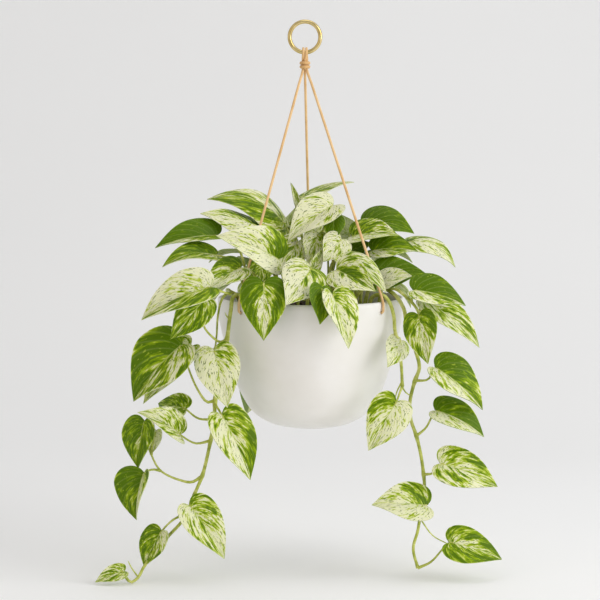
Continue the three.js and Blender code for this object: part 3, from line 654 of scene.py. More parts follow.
def sweep(
    bm: bmesh.types.BMesh,
    stations: Sequence[Vector],
    radius: Callable[[float], float],
    sides: int,
    index: int = 0,
) -> None:
    """Adds a closed round tube: a grid is wound round the line and its ends are filled.

    Args:
        bm: The mesh that takes the tube.
        stations: The centre line.
        radius: The radius at a share of the way, from 0 to 1.
        sides: The number of sides.
        index: The material index.
    """
    steps = len(stations) - 1
    frames: list[tuple[Vector, Vector, Vector]] = []
    across = None
    before = None
    for i, place in enumerate(stations):
        along = (stations[min(i + 1, steps)] - stations[max(i - 1, 0)]).normalized()
        if across is None:
            helper = UP if abs(along.z) < 0.9 else Vector((1, 0, 0))
            across = helper.cross(along).normalized()
        else:
            across.rotate(before.rotation_difference(along))
        before = along
        frames.append((place, across.copy(), along.cross(across)))
    verts = bmesh.ops.create_grid(bm, x_segments=sides, y_segments=steps, size=1.0)["verts"]
    faces = {f for v in verts for f in v.link_faces}
    for face in faces:
        face.material_index = index
        face.smooth = True
    for vert in verts:
        angle = (vert.co.x + 1) * math.pi
        step = round((vert.co.y + 1) / 2 * steps)
        place, first, second = frames[step]
        reach = radius(step / steps)
        vert.co = place + first * reach * math.cos(angle) + second * reach * math.sin(angle)
    bmesh.ops.remove_doubles(bm, verts=verts, dist=WELD / 10)
    edges = {e for f in faces if f.is_valid for e in f.edges if e.is_boundary}
    filled = bmesh.ops.holes_fill(bm, edges=list(edges), sides=0)["faces"]
    for face in filled:
        face.material_index = index
    bmesh.ops.recalc_face_normals(bm, faces=[f for f in faces if f.is_valid] + filled)


def spin_profile(
    bm: bmesh.types.BMesh, profile: Sequence[tuple[float, float]], centre: Vector, steps: int
) -> list[bmesh.types.BMFace]:
    """Turns a profile of radius and height once round the vertical axis.

    Args:
        bm: The mesh that takes the shape.
        profile: Radius and height of each point.
        centre: The axis's place.
        steps: The number of steps of the turn.

    Returns:
        The new faces.
    """
    verts = [bm.verts.new(centre + Vector((r, 0.0, z))) for r, z in profile]
    edges = [bm.edges.new(pair) for pair in zip(verts, verts[1:])]
    old = set(bm.faces)
    bmesh.ops.spin(
        bm,
        geom=verts + edges,
        cent=centre,
        axis=(0, 0, 1),
        angle=2 * math.pi,
        steps=steps,
        use_merge=True,
    )
    faces = [f for f in bm.faces if f not in old]
    verts_now = list({v for f in faces for v in f.verts})
    bmesh.ops.remove_doubles(bm, verts=verts_now, dist=WELD)
    faces = [f for f in bm.faces if f not in old]
    for face in faces:
        face.smooth = True
    bmesh.ops.recalc_face_normals(bm, faces=faces)
    return faces


def add_object(name: str, data: bpy.types.ID) -> bpy.types.Object:
    """Puts a mesh, a light or a camera into the scene.

    Args:
        name: The object's name.
        data: What it shows.

    Returns:
        The new object.
    """
    made = bpy.data.objects.new(name, data)
    bpy.context.scene.collection.objects.link(made)
    return made


def add_mesh(
    name: str, bm: bmesh.types.BMesh, materials: Sequence[bpy.types.Material] = ()
) -> bpy.types.Object:
    """Makes an object of a mesh.

    Args:
        name: Its name.
        bm: The mesh, which is freed.
        materials: Its materials.

    Returns:
        The new object.
    """
    mesh = bpy.data.meshes.new(name)
    bm.to_mesh(mesh)
    bm.free()
    for material in materials:
        mesh.materials.append(material)
    return add_object(name, mesh)


@dataclass(frozen=True)
class Finisher:
    """Turns a finished mesh into a piece of the frame."""

    materials: dict[Finish, list[bpy.types.Material]]
    sharp_angle: float = math.radians(42)

    def dress(
        self, bm: bmesh.types.BMesh, name: str, finish: Finish, node: str, body: str = PLANTER_BODY
    ) -> bpy.types.Object:
        """Makes the object, gives it its finish and puts it in place of its node.

        Args:
            bm: The mesh, which is freed.
            name: The piece's name.
            finish: The finish and slot.
            node: The node that the piece replaces.
            body: The body that it rides on.

        Returns:
            The new object.
        """
        piece = add_mesh(name, bm, self.materials[finish])
        piece.data.set_sharp_from_angle(angle=self.sharp_angle)
        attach(piece, body)
        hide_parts(node)
        log.info("%s: %d faces, in place of %s", name, len(piece.data.polygons), node)
        return piece


# Leaves


@dataclass(frozen=True)
class Marbling:
    """How cream the quarters of a leaf are, from 0, green, to 1, cream.

    The first two are the half on the blade's side vector, near the stalk and near the tip, and
    the last two the other half. The core is added beside the midrib.
    """

    side_base: float
    side_tip: float
    far_base: float
    far_tip: float
    core: float = 0.0


@dataclass(frozen=True)
class Leaf:
    """One leaf: stalk end, tip, width, roll about the midrib, fold of the halves, bow."""

    base: Place
    tip: Place
    width: float
    roll: float
    fold: float
    arc: float
    marbling: Marbling
    start: Place | None = None
    via: tuple[Place, ...] = ()


@dataclass(frozen=True)
class Stem:
    """One leafy stem: its root in the soil, its route and its leaves.

    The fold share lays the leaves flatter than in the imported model.
    """

    name: str
    root: tuple[float, float]
    route: tuple[Place, ...]
    leaves: tuple[Leaf, ...]
    is_vine: bool = False
    fold_share: float = 1.0
    branches: tuple[tuple[Place, ...], ...] = ()
    tendrils: tuple[tuple[Place, ...], ...] = ()


# The photograph's camera, from the top of the ring: it stands in front and looks down a little.
# Pixels are those of the photograph of 600 by 600, and the focal length is in pixels too.
CAMERA_X = -0.0054
CAMERA_DISTANCE = 2.6
CAMERA_HEIGHT = -0.07006
CAMERA_PITCH = 5.2
FOCAL_PX = 2373
PHOTO_PX = 600

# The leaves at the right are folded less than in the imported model, by this share
FLAT_FOLD = 0.72


def at(x: float, y: float, z: float) -> Place:
    """Returns a place from the bowl's rim that the plans state in millimetres."""
    return (x / 1000, y / 1000, z / 1000)


def seen(pixel_x: float, pixel_y: float, y: float) -> Place:
    """Turns a pixel picked in the photograph, and its y by guess, into a place in the plans.

    Args:
        pixel_x: The pixel's column.
        pixel_y: The pixel's row.
        y: The place's y in millimetres.

    Returns:
        The place from the bowl's rim, in whole millimetres.
    """
    across = (pixel_x - PHOTO_PX / 2) / FOCAL_PX
    rise = (PHOTO_PX / 2 - pixel_y) / FOCAL_PX
    pitch = math.radians(CAMERA_PITCH)
    ahead = math.cos(pitch) + math.sin(pitch) * rise
    upward = math.cos(pitch) * rise - math.sin(pitch)
    reach = (y / 1000 + CAMERA_DISTANCE) / ahead
    x = CAMERA_X + across * reach - BOWL_SHIFT_X
    z = CAMERA_HEIGHT + upward * reach + RIM_DEPTH
    return at(round(1000 * x), y, round(1000 * z))


VINES: tuple[Stem, ...] = (
    Stem(
        "vine_left_long", root=(-0.062, -0.04), is_vine=True,
        route=(
            at(-68, -46, 3), at(-83, -61, 6), at(-86, -71, -9), at(-88, -74, -24), seen(227, 339, -74),
            seen(219, 366, -72), seen(215, 400, -72), seen(214, 419, -72), seen(211, 441, -72),
            seen(207, 458, -72), seen(202, 476, -72), seen(194, 496, -72), seen(190, 510, -73),
            seen(180, 524, -74), seen(168, 536, -74), seen(158, 550, -76), seen(144, 567, -80),
            seen(138, 577, -82), seen(131, 582, -84), at(-201, -84, -293),
        ),
        tendrils=(
            (at(-86, -73, -19), at(-90, -74, -15), at(-92, -75, -10)),
            (seen(138, 577, -82), at(-193, -82, -286), at(-197, -82, -278)),
        ),
        leaves=(
            Leaf(seen(182, 345, -80), at(-190, -78, -106), 0.082, 34, 34, 0.1,
                Marbling(0.15, 0.2, 0.45, 0.35), start=seen(215, 400, -72), via=(seen(208, 402, -74),
                seen(198, 390, -76), at(-132, -76, -68))),
            Leaf(seen(190, 347, -62), seen(143, 404, -58), 0.042, 30, 30, 0.06,
                Marbling(0.4, 0.5, 0.5, 0.5), start=at(-100, -72, -75), via=(at(-114, -66, -62),)),
            Leaf(seen(204, 299, -98), seen(170, 339, -104), 0.04, 0, 14, 0.05,
                Marbling(0.35, 0.3, 0.3, 0.3), start=seen(227, 339, -74), via=(at(-97, -84, -41),
                at(-105, -90, -35), at(-113, -93, -25), at(-116, -92, -12))),
            Leaf(seen(185, 409, -70), seen(158, 403, -40), 0.034, 38, 22, 0.06,
                Marbling(0.3, 0.25, 0.35, 0.3), start=seen(214, 419, -72), via=(at(-121, -72, -125),)),
            Leaf(seen(179, 434, -84), seen(137, 412, -110), 0.046, 46, 38, 0.1,
                Marbling(0.4, 0.6, 0.55, 0.5), start=seen(211, 441, -72), via=(at(-124, -78, -151),)),
            Leaf(seen(144, 421, -72), seen(138, 468, -72), 0.048, 30, 34, 0.06,
                Marbling(0.15, 0.3, 0.25, 0.2), start=seen(202, 476, -72), via=(seen(192, 482, -72),
                seen(180, 480, -72), seen(161, 471, -70), seen(151, 455, -68), seen(146, 438, -68))),
            Leaf(seen(156, 431, -66), seen(151, 455, -64), 0.017, 0, 20, 0,
                Marbling(0.7, 0.7, 0.7, 0.7), start=seen(151, 455, -68), via=(at(-171, -68, -152),)),
            Leaf(seen(144, 473, -80), seen(137, 520, -86), 0.068, 44, 44, 0.08,
                Marbling(0.08, 0.2, 0.4, 0.7), start=seen(161, 471, -70), via=(at(-171, -75, -180),)),
            Leaf(seen(222, 416, -86), seen(250, 480, -90), 0.058, -30, 30, 0.06,
                Marbling(0.46, 0.6, 0.25, 0.18, core=0.3), start=at(-104, -72, -108),
                via=(at(-99, -80, -114),)),
            Leaf(seen(190, 506, -84), seen(224, 559, -88), 0.054, -34, 30, 0.05,
                Marbling(0.62, 0.42, 0.3, 0.6, core=0.1), start=seen(194, 496, -72),
                via=(at(-129, -79, -212),)),
            Leaf(seen(161, 532, -78), seen(144, 567, -76), 0.04, 30, 34, 0.05,
                Marbling(0.2, 0.3, 0.62, 0.3), start=at(-134, -73, -228), via=(at(-149, -75, -235),)),
            Leaf(seen(124, 571, -84), seen(95, 582, -90), 0.024, 34, 30, 0.08,
                Marbling(0.4, 0.45, 0.5, 0.4), start=at(-201, -84, -293), via=(at(-202, -84, -291),)),
        ),
    ),
    Stem(
        "vine_left_short", root=(-0.074, -0.032), is_vine=True,
        route=(at(-80, -36, 4), at(-88, -46, 10), at(-90, -64, 13), at(-86, -88, 11)),
        leaves=(
            Leaf(seen(209, 288, -116), seen(141, 320, -112), 0.06, 38, 38, 0.1,
                Marbling(0.7, 0.66, 0.2, 0.4), start=at(-86, -88, 11), via=(at(-93, -102, 14),)),
            Leaf(seen(214, 350, -92), seen(227, 408, -96), 0.05, -4, 12, 0.05,
                Marbling(0.72, 0.74, 0.48, 0.68), start=at(-88, -50, 11), via=(at(-96, -56, 2),
                at(-100, -62, -15), at(-101, -73, -34), at(-102, -84, -45))),
        ),
    ),
    Stem(
        "vine_right_long", root=(0.058, -0.024), is_vine=True, fold_share=FLAT_FOLD,
        route=(
            at(64, -28, 12), at(72, -36, 18), at(82, -45, 12), at(91, -50, 6), seen(404, 309, -55),
            at(103, -56, -25), seen(411, 338, -56), seen(416, 351, -56), seen(419, 368, -56),
            seen(415, 382, -56), seen(410, 402, -57), seen(411, 419, -58), seen(416, 436, -58),
            at(119, -58, -167), seen(424, 474, -58), seen(424, 486, -58), seen(422, 505, -59),
            seen(418, 530, -60), seen(413, 549, -61), seen(418, 568, -62),
        ),
        branches=(
            (
                at(82, -45, 12), at(91, -54, 13), at(99, -62, 8), seen(412, 302, -66),
                seen(417, 310, -68), at(117, -70, -17),
            ),
        ),
        tendrils=(
            (seen(421, 519, -60), seen(433, 536, -64), at(149, -67, -263)),
        ),
        leaves=(
            Leaf(seen(414, 290, -70), seen(466, 306, -66), 0.05, -48, 42, 0.08,
                Marbling(0.6, 0.45, 0.05, 0.1), start=seen(412, 302, -66), via=(at(108, -69, 7),)),
            Leaf(seen(426, 301, -52), seen(479, 348, -50), 0.048, -45, 38, 0.08,
                Marbling(0.55, 0.5, 0.64, 0.5), start=at(116, -68, -12), via=(at(119, -61, -4),)),
            Leaf(seen(419, 316, -84), seen(428, 364, -100), 0.041, 20, 26, 0.05,
                Marbling(0.15, 0.35, 0.12, 0.35, core=0.4), start=at(116, -69, -14),
                via=(at(116, -77, -11),)),
            Leaf(seen(436, 368, -66), seen(483, 410, -64), 0.06, -46, 44, 0.08,
                Marbling(0.65, 0.55, 0.08, 0.2), start=at(113, -56, -86), via=(at(126, -62, -84),)),
            Leaf(seen(436, 411, -62), seen(484, 437, -60), 0.052, -50, 42, 0.09,
                Marbling(0.76, 0.68, 0.1, 0.15), start=seen(416, 436, -58), via=(at(124, -60, -137),)),
            Leaf(seen(441, 464, -66), seen(498, 487, -62), 0.054, -36, 34, 0.07,
                Marbling(0.4, 0.45, 0.6, 0.25, core=0.1), start=seen(424, 474, -58),
                via=(at(132, -62, -186),)),
            Leaf(seen(426, 506, -76), seen(372, 505, -84), 0.058, 44, 38, 0.06,
                Marbling(0.2, 0.55, 0.7, 0.75), start=at(121, -59, -214), via=(at(124, -67, -213),)),
            Leaf(seen(450, 543, -68), seen(502, 560, -66), 0.048, -36, 32, 0.07,
                Marbling(0.2, 0.15, 0.25, 0.15, core=0.45), start=seen(418, 568, -62),
                via=(at(130, -64, -283),)),
        ),
    ),
    Stem(
        "vine_right_short", root=(0.062, -0.048), is_vine=True,
        route=(
            at(66, -52, 4), at(77, -61, 7), at(84, -65, 0), seen(394, 317, -66), seen(395, 330, -66),
            seen(398, 345, -64), seen(401, 364, -66), seen(402, 386, -72),
        ),
        tendrils=(
            (at(97, -71, -86), at(92, -74, -96), at(90, -75, -104)),
            (seen(402, 386, -72), at(101, -73, -96), at(108, -73, -101)),
        ),
        leaves=(
            Leaf(seen(400, 341, -66), seen(387, 368, -96), 0.029, -8, 10, 0.05,
                Marbling(0.76, 0.76, 0.76, 0.76), start=at(93, -64, -41), via=(at(96, -62, -39),)),
            Leaf(seen(396, 402, -88), seen(368, 451, -92), 0.048, 10, 14, 0.05,
                Marbling(0.18, 0.58, 0.7, 0.76), start=seen(402, 386, -72), via=(at(95, -80, -96),)),
        ),
    ),
)

CROWN: tuple[Stem, ...] = (
    Stem(
        "crown_left_top", root=(-0.022, 0.018),
        route=(at(-24, 18, 40),),
        leaves=(
            Leaf(seen(284, 224, 20), seen(207, 199, 0), 0.058, 57, 2, 0.19,
                Marbling(0.5, 0.4, 0.35, 0.22)),
            Leaf(seen(278, 230, 10), seen(250, 221, 30), 0.034, 60, 20, 0.05,
                Marbling(0.3, 0.3, 0.3, 0.3)),
        ),
    ),
    Stem(
        "crown_left_high", root=(-0.048, -0.004),
        route=(at(-50, -6, 40),),
        leaves=(
            Leaf(seen(256, 226, -14), at(-120, -30, 93), 0.044, 58, 0, 0.06,
                Marbling(0.12, 0.5, 0.55, 0.65)),
        ),
    ),
    Stem(
        "crown_left_outer", root=(-0.06, -0.014),
        route=(at(-70, -18, 28),),
        leaves=(
            Leaf(seen(217, 236, -30), seen(155, 248, -50), 0.05, 48, 42, 0.08,
                Marbling(0.02, 0.04, 0.1, 0.5)),
        ),
    ),
    Stem(
        "crown_left_front", root=(-0.03, -0.046),
        route=(at(-31, -50, 14),),
        leaves=(
            Leaf(at(-36, -60, 46), at(-101, -90, 73), 0.06, 32, 34, 0.1,
                Marbling(0.08, 0.72, 0.76, 0.76)),
        ),
    ),
    Stem(
        "crown_left_low", root=(-0.066, -0.026),
        route=(at(-74, -34, 18),),
        leaves=(
            Leaf(seen(214, 255, -58), seen(162, 267, -74), 0.042, 60, 24, 0.15,
                Marbling(0.2, 0.2, 0.5, 0.3)),
        ),
    ),
    Stem(
        "crown_left_inner", root=(-0.048, -0.05),
        route=(at(-54, -60, 10),),
        leaves=(
            Leaf(at(-75, -72, 37), at(-115, -98, 13), 0.042, 34, 30, 0.08,
                Marbling(0.15, 0.5, 0.5, 0.74)),
        ),
    ),
    Stem(
        "crown_front_left", root=(-0.032, -0.068),
        route=(at(-36, -76, 6),),
        leaves=(
            Leaf(seen(264, 283, -106), seen(264, 341, -120), 0.052, 0, 12, 0.05,
                Marbling(0.02, 0.25, 0.02, 0.2, core=0.6)),
        ),
    ),
    Stem(
        "crown_front_middle", root=(-0.004, -0.042),
        route=(at(-3, -44, 8),),
        leaves=(
            Leaf(at(0, -80, 37), at(-27, -127, 2), 0.052, 8, 8, 0.08,
                Marbling(0.64, 0.8, 0.25, 0.66, core=-0.1)),
            Leaf(at(1, -50, 30), at(14, -38, 58), 0.016, 20, 20, 0, Marbling(0.5, 0.5, 0.5, 0.5)),
        ),
    ),
    Stem(
        "crown_front_right", root=(0.014, -0.07),
        route=(at(15, -79, 8),),
        leaves=(
            Leaf(at(11, -110, 19), at(9, -128, -18), 0.034, -35, 12, 0.04,
                Marbling(0.08, 0.15, 0.12, 0.2), via=(at(15, -90, 8), at(14, -101, 11))),
            Leaf(at(22, -110, 12), at(39, -124, -44), 0.054, -42, 34, 0.04,
                Marbling(0.6, 0.6, 0.38, 0.6), via=(at(19, -94, 9), at(21, -103, 11))),
        ),
    ),
    Stem(
        "crown_top_middle", root=(0.006, 0.004),
        route=(at(6, 4, 52),),
        leaves=(
            Leaf(seen(333, 206, 0), seen(288, 242, -24), 0.056, 36, 34, 0.08,
                Marbling(0.8, 0.76, 0.76, 0.8, core=-0.22)),
            Leaf(seen(301, 212, 10), seen(291, 183, 10), 0.012, 10, 44, 0.02,
                Marbling(0.56, 0.5, 0.6, 0.5)),
        ),
    ),
    Stem(
        "crown_inner_left", root=(-0.046, -0.018),
        route=(at(-47, -18, 12),),
        leaves=(
            Leaf(at(-52, -22, 40), at(-60, -48, 8), 0.034, 14, 20, 0.06, Marbling(0.3, 0.3, 0.2, 0.3)),
        ),
    ),
    Stem(
        "crown_inner_front", root=(-0.014, -0.014),
        route=(at(-14, -14, 20),),
        leaves=(
            Leaf(at(-14, -12, 62), at(-32, -28, 24), 0.038, 10, 22, 0.06,
                Marbling(0.55, 0.5, 0.58, 0.5)),
            Leaf(at(8, -16, 70), at(-4, -32, 38), 0.032, -5, 20, 0.06, Marbling(0.6, 0.6, 0.5, 0.6)),
        ),
    ),
    Stem(
        "crown_inner_right", root=(0.036, -0.018),
        route=(at(38, -18, 14),),
        leaves=(
            Leaf(at(44, -18, 44), at(54, -44, 12), 0.034, -14, 20, 0.06, Marbling(0.05, 0.1, 0.1, 0.1)),
        ),
    ),
    Stem(
        "crown_top_back", root=(-0.008, 0.032),
        route=(at(-8, 30, 56),),
        leaves=(
            Leaf(seen(302, 197, 30), seen(354, 182, 20), 0.044, -80, 12, 0.04,
                Marbling(0.4, 0.4, 0.42, 0.4)),
            Leaf(at(16, 24, 80), at(12, 14, 40), 0.036, 0, 16, 0.05, Marbling(0.5, 0.5, 0.5, 0.5)),
        ),
    ),
    Stem(
        "crown_inner_back", root=(-0.03, 0.04),
        route=(at(-30, 40, 30),),
        leaves=(
            Leaf(at(-31, 41, 60), at(-16, 43, 97), 0.028, 150, 20, 0.04, Marbling(0.5, 0.5, 0.5, 0.5)),
            Leaf(at(-27, 37, 77), at(-30, 30, 42), 0.03, 0, 16, 0.05, Marbling(0.55, 0.55, 0.5, 0.5)),
        ),
    ),
    Stem(
        "crown_right_top", root=(0.034, 0.004), fold_share=FLAT_FOLD,
        route=(at(37, 3, 34),),
        leaves=(
            Leaf(seen(353, 236, -6), seen(398, 235, -20), 0.052, -58, 40, 0.06,
                Marbling(0.62, 0.56, 0.3, 0.4)),
            Leaf(seen(350, 238, 14), seen(341, 214, 30), 0.028, 160, 10, 0.04,
                Marbling(0.6, 0.6, 0.6, 0.6)),
        ),
    ),
    Stem(
        "crown_right_back", root=(0.046, 0.026), fold_share=FLAT_FOLD,
        route=(at(46, 25, 30),),
        leaves=(
            Leaf(seen(364, 224, 20), seen(414, 234, 6), 0.054, -50, 34, 0.14,
                Marbling(0.1, 0.12, 0.05, 0.12)),
            Leaf(seen(346, 254, 20), seen(371, 243, 20), 0.03, -40, 20, 0.04,
                Marbling(0.03, 0.05, 0.05, 0.05)),
        ),
    ),
    Stem(
        "crown_right_middle", root=(0.054, -0.008), fold_share=FLAT_FOLD,
        route=(at(57, -8, 22),),
        leaves=(
            Leaf(seen(373, 251, -6), seen(418, 251, -14), 0.046, -50, 42, 0.08,
                Marbling(0.65, 0.5, 0.1, 0.15)),
        ),
    ),
    Stem(
        "crown_right_outer", root=(0.074, 0.002),
        route=(at(82, 3, 24),),
        leaves=(
            Leaf(at(109, 9, 60), at(159, 2, 32), 0.04, -60, 6, 0.2, Marbling(0.7, 0.66, 0.3, 0.55)),
        ),
    ),
    Stem(
        "crown_right_low", root=(0.046, -0.034), fold_share=FLAT_FOLD,
        route=(at(50, -36, 4),),
        leaves=(
            Leaf(seen(374, 280, -30), seen(426, 274, -34), 0.052, -46, 40, 0.08,
                Marbling(0.03, 0.1, 0.03, 0.05)),
            Leaf(seen(380, 283, -44), seen(412, 276, -52), 0.034, -50, 34, 0.08,
                Marbling(0.76, 0.76, 0.76, 0.76)),
        ),
    ),
    Stem(
        "crown_right_front", root=(0.024, -0.046),
        route=(at(26, -48, 6),),
        leaves=(
            Leaf(at(28, -76, 35), at(68, -107, 15), 0.046, -20, 26, 0.08,
                Marbling(0.74, 0.74, 0.42, 0.55, core=-0.5)),
            Leaf(at(37, -57, 47), at(80, -90, 12), 0.036, -46, 18, 0.1, Marbling(0.6, 0.62, 0.5, 0.55)),
        ),
    ),
    Stem(
        "crown_right_inner", root=(0.022, -0.014),
        route=(at(24, -16, 30),),
        leaves=(
            Leaf(at(33, -27, 65), at(13, -50, 42), 0.034, 5, 12, 0.05, Marbling(0.74, 0.76, 0.66, 0.6)),
            Leaf(seen(334, 218, -6), seen(334, 241, -30), 0.026, 0, 15, 0.05,
                Marbling(0.08, 0.1, 0.08, 0.1)),
        ),
    ),
)


# The back of the crown repeats three kinds of leaf round the rear of the bowl


def around(azimuth: float, radius: float, height: float) -> Place:
    """Returns a place round the bowl: azimuth 0 is the front, -Y, and grows towards +X."""
    angle = math.radians(azimuth)
    return (radius * math.sin(angle), -radius * math.cos(angle), height)


@dataclass(frozen=True)
class BackTier:
    """One height of leaves at the back: radius and height of stalk end and tip, width, bow."""

    stalk: tuple[float, float]
    tip: tuple[float, float]
    width: float
    arc: float


@dataclass(frozen=True)
class BackStem:
    """One stem at the back, with the azimuths of its low, middle and high leaves."""

    azimuth: float
    rise: float
    low: float | None = None
    middle: float | None = None
    high: float | None = None


LOW_TIER = BackTier((0.080, 0.020), (0.128, -0.018), 0.046, 0.1)
MIDDLE_TIER = BackTier((0.066, 0.036), (0.118, 0.028), 0.046, 0.14)
HIGH_TIER = BackTier((0.060, 0.062), (0.110, 0.058), 0.044, 0.14)
BACK_STEMS = (
    BackStem(112, 0.007, low=118, middle=106),
    BackStem(136, -0.007, low=142, middle=130, high=128),
    BackStem(158, 0.004, middle=154, high=156),
    BackStem(202, 0.004, middle=206, high=204),
    BackStem(224, -0.007, low=218, middle=230, high=232),
    BackStem(248, 0.007, low=242, middle=254),
)
BACK_ROOT_RADIUS = 0.054
BACK_NODE_HEIGHT = 0.012
BACK_FOLD = 26
BACK_VINE_FOLD = 20
BACK_VINE_WIDTH = 0.042
BACK_VINE_ARC = 0.06
BACK_VINE_TURN = 9
BACK_VINE_TIP_TURN = 1.6
BACK_VINE_STALK_LIFT = 0.006
BACK_VINE_STALK_REACH = 0.012
BACK_VINE_TIP_REACH = 0.022
BACK_VINE_TIP_DROP = 0.042
BACK_VINES = ((160, 1), (200, -1))
BACK_VINE_ROOT_RADIUS = 0.062
BACK_VINE_ROUTE = (
    (0.070, 0.002), (0.088, 0.008), (0.103, 0.006), (0.112, -0.012), (0.114, -0.044),
    (0.113, -0.078), (0.109, -0.104),
)
BACK_VINE_NODES = ((0.113, -0.030), (0.114, -0.060), (0.109, -0.104))


def any_marbling(draw: random.Random) -> Marbling:
    """Draws the marbling of a leaf that the photograph doesn't show.

    Args:
        draw: The source of the shares.

    Returns:
        The marbling.
    """
    green, cream = draw.uniform(0.05, 0.3), draw.uniform(0.45, 0.85)
    shares = [green, cream, draw.uniform(0.1, 0.6), draw.uniform(0.3, 0.8)]
    draw.shuffle(shares)
    return Marbling(*shares, core=draw.choice((0.0, 0.0, 0.35, -0.3)))


def back_stem(number: int, stem: BackStem, draw: random.Random) -> Stem:
    """Builds the plan of one stem at the back.

    Args:
        number: Its number, from 1.
        stem: Its azimuths.
        draw: The source of its marbling.

    Returns:
        The stem with its leaves.
    """
    leaves = []
    tiers = ((stem.low, LOW_TIER, 0.0), (stem.middle, MIDDLE_TIER, stem.rise))
    for azimuth, tier, rise in (*tiers, (stem.high, HIGH_TIER, stem.rise)):
        if azimuth is None:
            continue
        upward = 90 - abs(180 - azimuth)
        roll = -90 - upward / 2 if azimuth < 180 else 90 + upward / 2
        base = around(azimuth, tier.stalk[0], tier.stalk[1] + rise)
        tip = around(azimuth, tier.tip[0], tier.tip[1] + rise)
        marbling = any_marbling(draw)
        leaves.append(Leaf(base, tip, tier.width, roll, BACK_FOLD, tier.arc, marbling))
    root = around(stem.azimuth, BACK_ROOT_RADIUS, 0.0)
    node = around(stem.azimuth, BACK_ROOT_RADIUS, BACK_NODE_HEIGHT)
    return Stem(f"crown_back_{number}", root[:2], (node,), tuple(leaves))


def back_vine(number: int, azimuth: float, side: int, draw: random.Random) -> Stem:
    """Builds the plan of one short vine behind the bowl.

    Args:
        number: Its number, from 1.
        azimuth: Where it hangs.
        side: 1 or -1, the side of its first leaf.
        draw: The source of its marbling.

    Returns:
        The vine with its leaves.
    """
    leaves = []
    for k, (radius, height) in enumerate(BACK_VINE_NODES):
        turn = side * (-BACK_VINE_TURN if k % 2 == 0 else BACK_VINE_TURN)
        lifted = height + BACK_VINE_STALK_LIFT
        base = around(azimuth + turn, radius + BACK_VINE_STALK_REACH, lifted)
        tip = around(
            azimuth + BACK_VINE_TIP_TURN * turn,
            radius + BACK_VINE_TIP_REACH,
            height - BACK_VINE_TIP_DROP,
        )
        leaf = Leaf(
            base, tip, BACK_VINE_WIDTH, 180, BACK_VINE_FOLD, BACK_VINE_ARC, any_marbling(draw),
            start=around(azimuth, radius, height),
            via=(around(azimuth + turn / 2, radius + 0.005, lifted),),
        )
        leaves.append(leaf)
    root = around(azimuth, BACK_VINE_ROOT_RADIUS, 0.0)
    route = tuple(around(azimuth, radius, height) for radius, height in BACK_VINE_ROUTE)
    return Stem(f"vine_back_{number}", root[:2], route, tuple(leaves), is_vine=True)


# Plant


